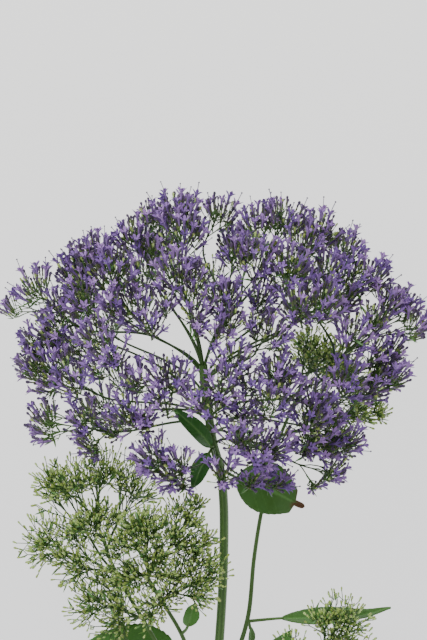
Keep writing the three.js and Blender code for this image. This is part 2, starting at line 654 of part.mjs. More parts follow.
// Fills the places of the arms, some with buds
function addFlorets(name, crowns, bud, budEvery, random) {
  for (const { shell, arms } of crowns)
    for (const arm of arms)
      arm.places.forEach((spot, i) => {
        growClear(name, shell, arm, spot, i % budEvery !== budEvery - 1, bud, random);
      });
}

// A side shoot's stem and the crowns on it
function buildShoot(shoot, random) {
  const curve = new THREE.CatmullRomCurve3(shoot.line.map(vec));
  const steps = shoot.line.length + 1;
  const stem = limb(shoot.name, curve, [SHOOT_RADIUS, SHOOT_TIP_RADIUS], SHOOT_SIDES, steps);
  const crowns = shoot.forks.map(({ at, faces }) => {
    const foot = curve.getPointAt(at);
    const middle = new THREE.Vector3();
    for (const face of faces) middle.addScaledVector(vec(face), 1 / faces.length);
    return buildCrown(shoot.name, foot, towards(foot, middle), SHOOT_TIP_RADIUS, faces, GREEN_KNOBS, random);
  });
  return { stem, crowns, curve };
}

// The half width of a blade at a share of its length: broad below the middle, drawn out to the tip
function bladeHalf(width, share) {
  return (width / 2) * Math.sin(Math.PI * share ** 0.75) ** 0.85;
}

// A toothed blade of even thickness, split into triangles alike on both faces
function buildLeaf(leaf) {
  const [foot, tip] = [vec(leaf.foot), vec(leaf.tip)];
  const run = towards(foot, tip);
  const across = new THREE.Vector3().crossVectors(run, vec(leaf.face)).normalize();
  const face = new THREE.Vector3().crossVectors(across, run).normalize();
  const count = 2 * Math.ceil(foot.distanceTo(tip) / TOOTH_LENGTH / 2) + 1;
  const rows = [];
  for (let i = 0; i <= count; i++) {
    const share = 0.03 + (0.97 * i) / count;
    const rib = along(foot, tip, share).addScaledVector(face, leaf.bend * Math.sin(Math.PI * share));
    const tooth = i % 2 ? 1 : 1 - TOOTH_DEPTH;
    const half = i === count ? 0.35 : Math.max(0.8, bladeHalf(leaf.width, share) * tooth);
    const edge = (sign) => rib.clone().addScaledVector(across, sign * half)
      .addScaledVector(face, LEAF_FOLD * half).addScaledVector(run, i % 2 ? TOOTH_LEAN : 0);
    rows.push([edge(-1), rib, edge(1)]);
    place(leaf.name, rows[i][0], rows[i][1], LEAF_THICKNESS);
    place(leaf.name, rows[i][1], rows[i][2], LEAF_THICKNESS);
  }
  const thick = face.clone().multiplyScalar(LEAF_THICKNESS / 2);
  const points = [1, -1].flatMap((s) => rows.flat().map((p) => p.clone().addScaledVector(thick, s)));
  const under = 3 * rows.length;
  const triangles = [];
  for (let i = 0; i < rows.length - 1; i++)
    for (let j = 0; j < 2; j++) {
      const [a, b, c, d] = [3 * i + j, 3 * i + j + 1, 3 * i + j + 3, 3 * i + j + 4];
      const split = j === 0 ? [[a, b, d], [a, d, c]] : [[a, b, c], [b, d, c]];
      for (const [p, q, r] of split) triangles.push([p, q, r], [under + p, under + r, under + q]);
    }
  const rim = [];
  for (let i = 0; i < rows.length; i++) rim.push(3 * i + 2);
  rim.push(3 * (rows.length - 1) + 1);
  for (let i = rows.length - 1; i >= 0; i--) rim.push(3 * i);
  rim.push(1);
  rim.forEach((a, i) => {
    const b = rim[(i + 1) % rim.length];
    triangles.push([a, under + a, b], [b, under + a, under + b]);
  });
  const blade = solidOf(points, triangles);
  const stalkEnd = rows[1][1];
  const start = vec(leaf.root);
  const knee = along(start, rows[0][1], 0.6).addScaledVector(face, 0.6);
  const line = new THREE.QuadraticBezierCurve3(start, knee, stalkEnd);
  const stalk = limb(leaf.name, line, [LEAF_STALK_RADIUS, LEAF_STALK_RADIUS], 3, 2);
  return [blade, stalk];
}

// A copy of a carrier's limb, wider by the gap, which cuts the foot of what sits on it
function seat(curve, radii, sides, steps) {
  const frames = curve.computeFrenetFrames(steps, false);
  return loft(Array.from({ length: steps + 1 }, (_, i) => {
    const radius = THREE.MathUtils.lerp(radii[0], radii[1], i / steps) + GAP;
    return ring(curve.getPointAt(i / steps), [frames.normals[i], frames.binormals[i]], radius, sides);
  }));
}

// The main piece of a solid once its carrier's seat is cut from it, on the side away from the carrier
function seated(parts, cutter) {
  return fuse(parts).subtract(cutter).decompose().sort((a, b) => b.volume() - a.volume())[0];
}

// A plain matt finish
function finish(color, roughness, flatShading) {
  return new THREE.MeshStandardMaterial({ color, roughness, metalness: 0, flatShading });
}

const FINISHES = {
  stem: finish(0x4a6b38, 0.6, false),
  leaf: finish(0x3c6631, 0.55, true),
  floret: finish(0x7a5bb0, 0.7, true),
  bud: finish(0x8da653, 0.65, true),
};

const plant = new THREE.Group();

function addNode(name, solid, material) {
  const mesh = new THREE.Mesh(geometryOf(solid), material);
  mesh.name = name;
  plant.add(mesh);
}

// Everything that carries something is placed first, and the florets then keep clear of it
const stemSolid = buildStem();
const shootFrames = SHOOTS.map((shoot, i) => buildShoot(shoot, dice(301 + i)));
const leafParts = LEAVES.map(buildLeaf);
const drawOf = (spray, i) => 101 + i + 1000 * (spray.draw ?? 0);
const sprayCrowns = SPRAYS.map((spray, i) => buildSpray(spray, dice(drawOf(spray, i))));
SPRAYS.forEach((spray, i) => {
  addFlorets(spray.name, sprayCrowns[i], PURPLE_BUD, BUD_EVERY, dice(500 + drawOf(spray, i)));
});
SHOOTS.forEach((shoot, i) => addFlorets(shoot.name, shootFrames[i].crowns, GREEN_BUD, 1, dice(701 + i)));

const stemSeat = seat(stemCurve, [STEM_RADIUS, STEM_TIP_RADIUS], STEM_SIDES, STEM_STEPS);
const seats = { stem: stemSeat };
SHOOTS.forEach((shoot, i) => {
  const radii = [SHOOT_RADIUS, SHOOT_TIP_RADIUS];
  seats[shoot.name] = seat(shootFrames[i].curve, radii, SHOOT_SIDES, shoot.line.length + 1);
});

addNode("stem", stemSolid, FINISHES.stem);
SPRAYS.forEach((spray, i) => {
  addNode(spray.name, fuse(sprayCrowns[i].map(({ shell }) => shell.solid())), FINISHES.floret);
});
SHOOTS.forEach((shoot, i) => {
  const { stem, crowns } = shootFrames[i];
  addNode(shoot.name, seated([stem, ...crowns.map(({ shell }) => shell.solid())], stemSeat), FINISHES.bud);
});
LEAVES.forEach((leaf, i) => {
  addNode(leaf.name, seated(leafParts[i], seats[leaf.on]), FINISHES.leaf);
});

export default plant;
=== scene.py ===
"""A cut stem of throatwort that lies on a pale surface, with its flowers, buds and leaves.

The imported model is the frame: each finished piece stands for one of its nodes and keeps that node's
place and form. The tables give the same places in millimetres, and every random draw is seeded.
"""

import bisect
import math
import random
from collections import namedtuple

import bpy
from bpy.props import FloatProperty, FloatVectorProperty, IntProperty, PointerProperty
from bpy.types import Operator, Panel, PropertyGroup
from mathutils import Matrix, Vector


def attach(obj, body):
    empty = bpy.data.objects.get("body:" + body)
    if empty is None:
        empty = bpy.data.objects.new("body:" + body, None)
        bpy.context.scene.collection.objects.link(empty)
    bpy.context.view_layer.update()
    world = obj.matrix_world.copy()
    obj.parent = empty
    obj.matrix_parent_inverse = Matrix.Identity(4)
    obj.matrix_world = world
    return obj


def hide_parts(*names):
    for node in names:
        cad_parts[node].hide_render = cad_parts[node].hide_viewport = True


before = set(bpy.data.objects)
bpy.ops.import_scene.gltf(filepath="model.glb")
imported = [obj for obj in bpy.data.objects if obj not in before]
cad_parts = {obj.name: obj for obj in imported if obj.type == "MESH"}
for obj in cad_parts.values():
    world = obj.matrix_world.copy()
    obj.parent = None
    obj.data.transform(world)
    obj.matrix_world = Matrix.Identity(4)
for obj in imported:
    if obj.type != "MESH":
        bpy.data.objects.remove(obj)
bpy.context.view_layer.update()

bl_info = {
    "name": "Throatwort stem",
    "version": (1, 0, 0),
    "blender": (4, 5, 0),
    "location": "View3D > Sidebar > Throatwort",
    "description": "Finishes a cut throatwort stem with its flowers, buds and leaves",
    "category": "Add Mesh",
}

MM = 0.001
SEED = 41
UP = Vector((0, 0, 1))

Spray = namedtuple("Spray", "name start neck fans")
Shoot = namedtuple("Shoot", "name line forks")
Leaf = namedtuple("Leaf", "name root foot tip width face bend look")
Bloom = namedtuple("Bloom", "foot way kind size tint")

# The stem's centre line, from the cut end up to the crown where it breaks into branches
STEM_LINE = [
    (0, -5, 1.5), (0.6, 12, 1.75), (2.3, 48, 8.5), (5, 78, 16), (6.9, 104, 22.5), (7.9, 128, 28.5),
    (7.8, 150, 34), (6.4, 164, 37.5), (3.6, 174, 40), (1.6, 186, 43.5), (0, 197, 46), (-0.8, 208, 48.5),
]

# The sprays of the head: the height on the stem where the branch starts, or the branch that it forks
# from and where along it, the neck where the branch ends, and for each fan of flowers the middle of its
# face and its reach
SPRAYS = [
    Spray("left_outer", ("left_upper", 0.55), (-53, 224, 45),
          [(-77, 247, 50, 9), (-86, 235, 42, 6), (-67, 229, 57, 8)]),
    Spray("left_upper", 201, (-37, 231, 54),
          [(-52, 259, 60, 12.5), (-58, 241, 67, 9), (-38, 256, 74, 10)]),
    Spray("left_middle", 184, (-35, 215, 67),
          [(-51, 224, 80, 9.5), (-40, 214, 90, 8)]),
    Spray("left_lower", 182, (-46, 196, 46),
          [(-74, 213, 45, 12), (-60, 206, 63, 9)]),
    Spray("left_foot", 179, (-39, 180, 50),
          [(-75, 187, 45, 9.5), (-57, 190, 61, 9), (-53, 172, 54, 6.9)]),
    Spray("left_inner", ("left_middle", 0.4), (-24, 186, 62),
          [(-39, 191, 77, 9), (-28, 188, 83, 7)]),
    Spray("heart_left", 194, (-16, 197, 66),
          [(-17, 207, 89, 8), (-10, 205, 90, 6.9), (-33, 205, 82, 6.9)]),
    Spray("inner_left", 204, (-24, 222, 53),
          [(-31, 239, 74, 10), (-22, 227, 82, 6.5)]),
    Spray("top_left", 206, (-24, 250, 49),
          [(-36, 269, 53, 9.5), (-22, 278, 49, 9)]),
    Spray("top", 208, (-11, 254, 51),
          [(-12, 282, 53, 11), (-8, 269, 72, 9.5)]),
    Spray("top_twig", ("top_inner", 0.6), (0, 260, 37),
          [(9, 279, 37, 8)]),
    Spray("upper_heart", 206, (-6, 228, 57),
          [(-14, 254, 81, 10), (-4, 250, 83, 7.5), (-4, 236, 88, 8.5)]),
    Spray("right_heart", 203, (5, 221, 58),
          [(8, 241, 84, 8.5), (12, 229, 89, 7)]),
    Spray("top_inner", 205, (15, 236, 52),
          [(14, 262, 69, 8), (24, 260, 76, 10)]),
    Spray("top_right", ("top_inner", 0.75), (26, 250, 46),
          [(21, 276, 47, 9), (36, 278, 50, 10)]),
    Spray("right_crown", 199, (34, 238, 54),
          [(44, 268, 61, 9.5), (35, 255, 79, 10)]),
    Spray("right_shoulder", 197, (48, 234, 47),
          [(62, 265, 47, 9), (68, 252, 56, 9.5), (52, 254, 67, 8)]),
    Spray("right_middle", ("right_outer", 0.93), (48, 226, 57),
          [(49, 240, 79, 10), (36, 236, 84, 8)]),
    Spray("right_outer", 188, (57, 211, 47),
          [(88, 239, 43, 8), (77, 234, 57, 9), (64, 226, 68, 9)]),
    Spray("right_lower", ("right_outer", 0.75), (52, 200, 48),
          [(64, 205, 68, 9), (80, 203, 50, 9.5), (84, 219, 47, 7.2)]),
    Spray("middle_right", 198, (21, 213, 62),
          [(31, 226, 85, 9), (21, 229, 86, 6.9)]),
    Spray("heart_right", 192, (6, 200, 68),
          [(14, 214, 96, 9.5), (7, 200, 104, 8.5), (-5, 194, 100, 7.5)]),
    Spray("low_heart", 187, (24, 196, 66),
          [(34, 211, 88, 8.5), (39, 200, 86, 8), (27, 193, 99, 9)]),
    Spray("low_right", 179, (39, 183, 58),
          [(46, 190, 80, 9), (60, 179, 58, 9), (48, 176, 74, 8)]),
    Spray("low_twig", 173, (38, 167, 53),
          [(60, 164, 55, 7), (50, 156, 49, 5)]),
    Spray("low_front", 176, (17, 177, 70),
          [(12, 181, 98, 8), (25, 171, 92, 9.5), (36, 176, 85, 8)]),
    Spray("skirt_right", 168, (15, 162, 58),
          [(36, 160, 67, 5.5), (21, 161, 76, 6)]),
    Spray("skirt_middle", 171, (6, 165, 62),
          [(9, 163, 80, 7.5)]),
    Spray("skirt_left", 166, (-6, 165, 56),
          [(-13, 168, 72, 8), (-29, 173, 65, 9), (-12, 155, 60, 6)]),
    Spray("back_top_left", 203, (-17, 238, 31),
          [(-19, 265, 22, 9.5), (-33, 250, 12, 9)]),
    Spray("back_left", 193, (-37, 219, 29),
          [(-57, 241, 25, 9.5), (-60, 216, 15, 9.5), (-41, 231, 2.5, 8.1)]),
    Spray("back_low_left", 183, (-33, 190, 30),
          [(-51, 190, 18, 9), (-37, 206, 6, 7.2)]),
    Spray("back_top", 202, (10, 240, 28),
          [(15, 267, 20, 9.5), (0, 247, 2.5, 9)]),
    Spray("back_right", 196, (37, 226, 27),
          [(43, 254, 21, 9.5), (61, 239, 18, 9), (42, 238, 2.5, 8.5)]),
    Spray("back_low_right", 184, (36, 194, 30),
          [(55, 187, 24, 8), (27, 206, 8, 7)]),
    Spray("back_low", 176, (12, 181, 27),
          [(22, 176, 10, 8.5)]),
]

# Smaller fans between those of the frame, by the spray that they grow on
FILLERS = {
    "left_outer": [(-73, 222, 46, 8), (-79, 217, 42, 7), (-64, 238, 60, 6)],
    "left_upper": [(-48, 263, 52, 8), (-62, 252, 52, 7), (-57, 259, 54, 7)],
    "left_middle": [(-49, 204, 76, 6)],
    "left_lower": [(-79, 213, 44, 8.5)],
    "left_foot": [(-42, 178, 52, 7)],
    "left_inner": [(-24, 184, 80, 6)],
    "heart_left": [(-22, 197, 87, 6), (-16, 190, 90, 6)],
    "inner_left": [(-42, 237, 75, 6), (-15, 238, 85, 6)],
    "top_left": [(-20, 262, 58, 8)],
    "top": [(-2, 271, 58, 6)],
    "upper_heart": [(-2, 227, 90, 6)],
    "right_heart": [(5, 223, 92, 6), (11, 243, 85, 6)],
    "top_inner": [(29, 239, 68, 8.5)],
    "right_crown": [(52, 272, 52, 9)],
    "right_shoulder": [(77, 250, 48, 8.5), (66, 238, 58, 7)],
    "right_outer": [(94, 229, 44, 8), (81, 241, 52, 7), (76, 217, 60, 6)],
    "right_lower": [(87, 206, 50, 8), (80, 211, 52, 7), (72, 196, 52, 6.5)],
    "heart_right": [(4, 190, 101, 6)],
    "low_heart": [(13, 190, 92, 8.5), (18, 204, 98, 6)],
    "low_right": [(51, 199, 74, 8.5), (45, 169, 66, 7), (57, 170, 58, 7), (67, 175, 54, 7)],
    "skirt_left": [(-21, 162, 62, 7)],
    "skirt_right": [(28.5, 161, 70, 5.5)],
}

# Side shoots with closed buds: the shoot's own line, and its forks, each with its start as a share of
# the line and its fans
SHOOTS = [
    Shoot("bud_shoot_left",
          [(2.6, 58, 10.5), (-3.5, 76, 19), (-10, 94, 27), (-18, 108, 35), (-25, 120, 42)],
          [(0.97, [(-24, 146, 62, 13), (-5, 144, 51, 12.5), (-42, 140, 53, 11.5),
                   (-33, 118, 56, 10), (-16, 123, 62, 10), (-28, 150, 54, 9), (-6, 153, 50, 8),
                   (-1, 147, 46, 7), (-40, 121, 44, 8), (-43, 114, 40, 7), (6, 138, 48, 7),
                   (-32, 147, 46, 8), (0, 155, 48, 6), (-20, 131, 56, 8)]),
           (0.8, [(5, 123, 48, 12), (9, 127, 48, 8), (3, 114, 47, 8.5), (-28, 100, 51, 9.5),
                  (-19, 107, 52, 8), (0, 135, 50, 9), (-12, 116, 46, 8), (-11, 125, 50, 7)])]),
    Shoot("bud_shoot_left_outer",
          [(1, 52, 9.2), (-11.5, 74, 15), (-24, 96, 22), (-36, 117, 29), (-42, 130, 33)],
          [(0.97, [(-59, 169, 36, 13), (-41, 174, 41, 12.5), (-26, 165, 31, 11), (-52, 147, 43, 10),
                   (-38, 152, 40, 9), (-49, 152, 34, 8), (-70, 166, 30, 8)]),
           (0.86, [(-78, 138, 32, 12), (-62, 127, 44, 11), (-67, 131, 38, 8), (-68, 163, 27, 10),
                   (-60, 145, 30, 9)]),
           (0.62, [(-57, 113, 37, 12), (-46, 96, 27, 11), (-42, 110, 36, 9), (-46, 124, 41, 7)])]),
    Shoot("bud_shoot_right",
          [(4.6, 70, 14), (13.5, 86, 18), (18.2, 101, 19), (20.8, 126, 19), (24.2, 147, 18), (30, 172, 14),
           (38, 192, 13)],
          [(0.97, [(49, 219, 16, 11), (64, 215, 10, 10), (45, 224, 46, 10), (56, 213, 40, 8),
                   (52, 216, 54, 9), (64, 208, 48, 8)]),
           (0.88, [(72, 194, 25, 11), (66, 177, 17, 10), (72, 190, 34, 8), (80, 190, 28, 7)])]),
    Shoot("bud_shoot_low",
          [(4, 60, 11.5), (21, 66, 14), (38, 74, 19), (49, 84, 25)],
          [(0.97, [(50, 107, 39, 9), (64, 110, 34, 11), (70, 93, 30, 10.5), (59, 97, 36, 9)]),
           (0.75, [(36, 94, 35, 9.5)])]),
]

# Leaves: where the stalk starts, where the blade starts and ends, its width, the way that its upper
# side faces, how far its middle rises that way, and its look
LEAVES = [
    Leaf("leaf_crown_left", (3.6, 174, 40), (2.8, 173.4, 45.5), (-15, 190.5, 55), 7.6, (0.4, 0.1, 1), 3.5,
         "glossy"),
    Leaf("leaf_crown_low", (3, 172.5, 40.2), (1.6, 171, 44), (-5, 155, 47.5), 8, (-0.35, 0.1, 1), 2,
         "glossy"),
    Leaf("leaf_crown_right", (6.4, 164, 37.5), (13, 160.5, 34), (41.5, 147.5, 28), 22.5, (0.15, 0.2, 1), 4,
         "withered"),
    Leaf("leaf_right_long", (17.6, 99, 19), (31.8, 100.2, 17), (79, 103, 19), 11, (-0.05, 0.84, 0.62), -1,
         "satin"),
    Leaf("leaf_right_small", (18, 100, 19), (19.2, 97, 17), (17.6, 83, 10), 6, (0.9, 0, 0.4), 1, "satin"),
    Leaf("leaf_low_right", (4.3, 68, 13.2), (20.5, 73, 7.5), (37.5, 94.5, 6), 11, (-0.2, 0.1, 1), 2,
         "fresh"),
    Leaf("leaf_low_left", (2, 40, 6.9), (-8, 75, 6), (-58, 84, 3), 38, (0, 0.06, 1), 4, "fresh"),
    Leaf("leaf_shoot_left", (-10, 94, 27), (-7.2, 97.5, 34), (-5, 108.5, 37), 7.5, (0.4, 0, 1), 1, "fresh"),
]

# How the branches and fans run
BRANCH_ROOT = 0.6  # radii of a branch
BRANCH_END = 0.4
BRANCH_STEPS = 14
BRANCH_PULL = 0.3  # how far a branch keeps its first and last direction, as a share of its length
NECK_PULL = 0.1  # how much the neck pulls on its first direction
FORK_STEPS = 2  # straight pieces of a branch in the frame, which its forks start on
COLLAR = 1.6  # length of the collar at the foot of a crown of fans
ARM_LENGTH = 1.1  # from a fan's hub to its face, as a share of its reach
HEAD_MIDDLE = Vector((0, 205, 45))
FLOOR_ROOM = 0.3  # kept between the surface and what hangs low
OPEN_ROOM = 5.2  # how far an open flower with its style reaches past its face, and half that sideways
BUD_ROOM = 1.5  # the same for a closed flower or a bud

# What a place in a fan can hold
OPEN, STYLED, CLOSED, YOUNG, GREEN, BRACT = range(1, 7)


def linear(hex_colour):
    """The linear colour of an sRGB hex value."""
    parts = [int(hex_colour[i:i + 2], 16) / 255 for i in (1, 3, 5)]
    return tuple(c / 12.92 if c <= 0.04045 else ((c + 0.055) / 1.055) ** 2.4 for c in parts)


def colour_property(name, description, hex_colour):
    """A colour that a user can change, given as an sRGB hex value."""
    return FloatVectorProperty(name=name, description=description, subtype="COLOR", size=3,
                               min=0, max=1, default=linear(hex_colour))


def length_property(name, description, millimetres):
    """A length that a user can change, given in millimetres."""
    return FloatProperty(name=name, description=description, unit="LENGTH", min=0,
                         default=millimetres * MM)


class ThroatwortSizes(PropertyGroup):
    """Sizes of the flowers, buds, stalks and leaves."""

    lobe_reach: length_property("Lobe reach", "From the middle of an open flower to a lobe's tip", 2.4)
    tube_length: length_property("Tube length", "From a flower's foot to its throat", 4.9)
    style_length: length_property("Style length", "How far the style stands out of the throat", 5.0)
    closed_length: length_property("Closed flower length", "From the foot to the tip, before it opens", 5.4)
    green_length: length_property("Green bud length", "From the foot to the tip of a green bud", 2.3)
    flower_room: length_property("Flower room", "Kept between the faces of open flowers", 2.6)
    violet_spacing: length_property("Violet spacing", "Between neighbours in a fan of flowers", 3.15)
    green_spacing: length_property("Green spacing", "Between neighbours in a fan of green buds", 2.9)
    blade_thickness: length_property("Blade thickness", "Of a leaf", 0.35)
    ribs: IntProperty(name="Ribs", description="Ribs round the stem", default=7, min=3, max=12)


class ThroatwortColours(PropertyGroup):
    """Colours of the petals, stalks, buds and leaves."""

    petal: colour_property("Petal", "Lobes of an open flower", "#926db4")
    # Partly the lobes' own paler colour and partly a painted highlight, on the throat's rim and the lobe
    # tips.
    petal_pale_and_highlight: colour_property("Petal, pale", "Ridge and tip of a lobe", "#b89fd4")
    tube: colour_property("Tube", "Tube of a flower", "#67597c")
    closed: colour_property("Closed flower", "Knob of a flower that is still closed", "#4a3c56")
    style: colour_property("Style", "Thread that stands out of the flower", "#655c7c")
    stigma: colour_property("Stigma", "Knob on the style", "#48425a")
    calyx: colour_property("Calyx", "Green foot of a flower", "#6b7c3c")
    green_bud: colour_property("Green bud", "Young buds of the side shoots", "#b6d172")
    bud_tip: colour_property("Bud tip", "Tip of a green bud", "#6b6052")
    stalk_fresh: colour_property("Fresh stalk", "Stalks of the side shoots", "#5f8440")
    stalk_deep: colour_property("Deep stalk", "Branches inside the head", "#33521f")
    stalk_violet: colour_property("Violet stalk", "Last forks under the flowers", "#564a5c")
    # The stem's colour and its lighter copy paint shade into the grooves and light onto the backs of the
    # ribs.
    stem: colour_property("Stem", "Shaded side of the stem's ribs", "#3c6129")
    stem_rib_painted_light: colour_property("Stem, light", "Backs of the stem's ribs", "#668c4a")
    leaf: colour_property("Leaf", "Blade between the veins", "#456f2e")
    # Painted light: a lighter copy of the leaf colour, for side leaves that face the light less.
    leaf_fresh: colour_property("Leaf, painted lighter", "Young leaves low on the stem", "#4d8034")
    # Partly the crown leaves' own dark green and partly painted highlight: lifted lighter to stand for
    # their gloss.
    leaf_deep: colour_property("Deep leaf", "Glossy leaves at the crown", "#366b2b")
    # Paler veins; on the midrib this pale streak is also a painted highlight.
    leaf_vein: colour_property("Leaf vein", "Veins of a leaf", "#61904a")
    withered: colour_property("Withered", "Dry tip of a leaf", "#63452a")


class ThroatwortStage(PropertyGroup):
    """Camera, floor and light."""

    camera_height: length_property("Camera height", "Above the head's middle", 2600)
    view_height: length_property("View height", "What the picture's height spans at the head", 268.8)
    # Painted light: the floor is lighter at the far end, as the light falls off towards the stem.
    floor_top: colour_property("Floor, far end", "Beyond the head", "#d6d6d5")
    floor_bottom: colour_property("Floor, near end", "Beside the stem", "#cbcbcc")
    # Painted light: the floor glows, which lifts the shade that the plant casts on it.
    floor_glow: FloatProperty(name="Floor glow", description="Light that the floor gives back in shadow",
                              default=2.3, min=0)
    key_power: FloatProperty(name="Key light", description="Power of the large light", default=14,
                             min=0, unit="POWER")
    fill: FloatProperty(name="Fill", description="Strength of the light from all round", default=0.62,
                        min=0)


# Lines through space

CURVE_STEPS = 20  # between two points of a smooth line
PATH_STEPS = 24  # along the path of a branch
WAY_STEP = 0.01  # share of a line over which its direction is read


def curved(points):
    """A smooth line through points, with the centripetal spacing that the frame's curves have."""
    knots = [2 * points[0] - points[1], *points, 2 * points[-1] - points[-2]]
    line = []
    for p0, p1, p2, p3 in zip(knots, knots[1:], knots[2:], knots[3:]):
        gaps = [math.sqrt((b - a).length) for a, b in ((p0, p1), (p1, p2), (p2, p3))]
        leave = ((p1 - p0) / gaps[0] - (p2 - p0) / (gaps[0] + gaps[1]) + (p2 - p1) / gaps[1]) * gaps[1]
        arrive = ((p2 - p1) / gaps[1] - (p3 - p1) / (gaps[1] + gaps[2]) + (p3 - p2) / gaps[2]) * gaps[1]
        for i in range(CURVE_STEPS):
            line.append(hermite(p1, p2, leave, arrive, i / CURVE_STEPS))
    return line + [points[-1].copy()]


def hermite(a, b, leave, arrive, t):
    """The point at t between a and b, with the speed at each end."""
    return (a + leave * t + (3 * (b - a) - 2 * leave - arrive) * t ** 2
            + (2 * (a - b) + leave + arrive) * t ** 3)


def bezier(a, b, c, d, steps):
    """Points along a cubic curve."""
    line = []
    for i in range(steps + 1):
        t = i / steps
        u = 1 - t
        line.append(a * u ** 3 + b * 3 * u * u * t + c * 3 * u * t * t + d * t ** 3)
    return line


class Path:
    """A line of points that is read by the share of its length."""

    def __init__(self, points):
        self.points = points
        self.reached = [0.0]
        for a, b in zip(points, points[1:]):
            self.reached.append(self.reached[-1] + (b - a).length)

    def at(self, share):
        """The point at a share of the length."""
        goal = share * self.reached[-1]
        k = min(max(1, bisect.bisect_left(self.reached, goal)), len(self.points) - 1)
        low, high = self.reached[k - 1], self.reached[k]
        return self.points[k - 1].lerp(self.points[k], (goal - low) / (high - low))

    def way(self, share):
        """The direction of the line there."""
        return (self.at(min(1, share + WAY_STEP)) - self.at(max(0, share - WAY_STEP))).normalized()

    def share_at(self, y):
        """How far along the line its Y comes to y."""
        low, high = 0.0, 1.0
        while high - low > 1e-4:
            middle = (low + high) / 2
            low, high = (middle, high) if self.at(middle).y < y else (low, middle)
        return low


def mean(points):
    """The middle of some points."""
    return sum(points, Vector()) / len(points)


def around(count):
    """Angles that go once round in even steps."""
    return [2 * math.pi * i / count for i in range(count)]


def crossways(way):
    """Two directions square to the first."""
    side = way.cross(UP if abs(way.z) < 0.9 else Vector((1, 0, 0))).normalized()
    return side, way.cross(side).normalized()


# What grows along the stalks

BOW_PULL = 0.35  # how far a bowed stalk keeps its first and last direction, as a share of its length


class Twigs:
    """The stalks of one piece, and the places of its flowers, buds and small leaves."""

    def __init__(self):
        self.stalks = []
        self.blooms = []

    def stalk(self, points, radii, tones):
        """A stalk along points. radii and tones run evenly from the first value to the second."""
        self.stalks.append((points, radii, tones))

    def bow(self, start, way, end, end_way, radii, tones, steps):
        """A stalk that leaves one way and arrives another."""
        pull = BOW_PULL * (end - start).length
        self.stalk(bezier(start, start + way * pull, end - end_way * pull, end, steps), radii, tones)


class Crowd:
    """Remembers where open flowers are, so that no two sink into each other."""

    def __init__(self, room):
        self.room = room
        self.cells = {}

    def cell(self, point):
        """The numbers of the cell that a point is in."""
        return tuple(math.floor(c / self.room) for c in point)

    def claim(self, point):
        """Takes the place if it is free, and says whether it was."""
        x, y, z = self.cell(point)
        near = [(x + i, y + j, z + k) for i in (-1, 0, 1) for j in (-1, 0, 1) for k in (-1, 0, 1)]
        for cell in near:
            if any((other - point).length < self.room for other in self.cells.get(cell, ())):
                return False
        self.cells.setdefault((x, y, z), []).append(point)
        return True


# What fills the places of a fan: the share of them that a kind takes, how deep it lies as a share of the
# fan's length, its sizes, and its height from foot to face in millimetres
Mix = namedtuple("Mix", "kind share depths sizes height")

# How a crown grows: the spacing of its places, what fills them, the lean of a bloom at a place, the
# tones of the stalks from the foot to the last forks, the length of the last stalks, each with one
# flower or bud, and what keeps open flowers apart
Habit = namedtuple("Habit", "spacing mixes lean tones pedicel crowd")

SPREADS = [(0, 1.3), (6.8, 1.5), (10, 1.7)]  # least reach, and half angle of the cap of places
GOLDEN = math.pi * (3 - math.sqrt(5))  # angle from one place to the next
SLANT_SCATTER = 0.08  # scatter of the places, in radians
TURN_SCATTER = 0.2
TIP_STALK = 0.19  # radius of the stalk of a single flower
STALK_GROWTH = 0.22  # how fast a stalk thickens with what it carries
FORK_SHARE = 0.36  # how far towards its flowers a stalk forks
LAST_GROUP = 3  # most flowers that share their last knot
SMALL_CROWN = 12  # a stalk with fewer flowers forks in two, and one with more in three
NEAR_KNOT = 1.6  # a start this near its last flowers, in lengths of their own stalks, is their knot
FORK_LEAN = 0.3  # pull of the old direction, and of the flowers' own, on a stalk after a fork
BOW_STEPS = 2  # straight pieces of a stalk between two forks
TONE_STEP = 0.4  # share of the way to the last tone that a stalk goes on between two forks
OUTWARD_LEAN = 0.3  # how far a flower of the head turns away from its middle
UPWARD_LEAN = Vector((0, 0.9, -0.15))  # and up the stem


def radius_for(count):
    """The radius of a stalk that carries so many flowers."""
    return TIP_STALK * count ** STALK_GROWTH


def fan_ways(way, length, cap, spacing, rng):
    """Directions from the hub of a fan that share out its cap evenly, apart from a little scatter."""
    count = max(3, round(2 * math.pi * length ** 2 * (1 - math.cos(cap)) / spacing ** 2))
    side, other = crossways(way)
    turn = rng.uniform(0, 2 * math.pi)
    for i in range(count):
        slant = math.acos(1 - (i + 0.5) / count * (1 - math.cos(cap))) + rng.gauss(0, SLANT_SCATTER)
        angle = turn + i * GOLDEN + rng.gauss(0, TURN_SCATTER)
        aside = side * math.cos(angle) + other * math.sin(angle)
        yield way * math.cos(slant) + aside * math.sin(slant)


def fan_blooms(hub, way, reach, habit, rng):
    """The blooms of one fan, apart from those that would touch the surface."""
    length = ARM_LENGTH * reach
    cap = [angle for least, angle in SPREADS if least <= reach][-1]
    for out in fan_ways(way, length, cap, habit.spacing, rng):
        mix = rng.choices(habit.mixes, [mix.share for mix in habit.mixes])[0]
        face = hub + out * length * rng.uniform(*mix.depths)
        if mix.kind in (OPEN, STYLED) and not habit.crowd.claim(face):
            mix = habit.mixes[0]  # no room to open
        size = rng.uniform(*mix.sizes)
        lean = (out + habit.lean(face)).normalized()
        foot = face - lean * mix.height * size
        room = (OPEN_ROOM if mix.kind in (OPEN, STYLED) else BUD_ROOM) * size
        low = min(foot.z, face.z, face.z + lean.z * room) - room * math.sqrt(1 - lean.z ** 2) / 2
        if low > FLOOR_ROOM:
            yield Bloom(foot, lean, mix.kind, size, rng.random())


def violet_lean(face):
    """Flowers of the head turn away from its middle and up the stem."""
    return (face - HEAD_MIDDLE).normalized() * OUTWARD_LEAN + UPWARD_LEAN


def green_lean(face):
    """Buds of the side shoots turn a little up the stem, wherever they are."""
    return Vector((0, 0.35, 0))


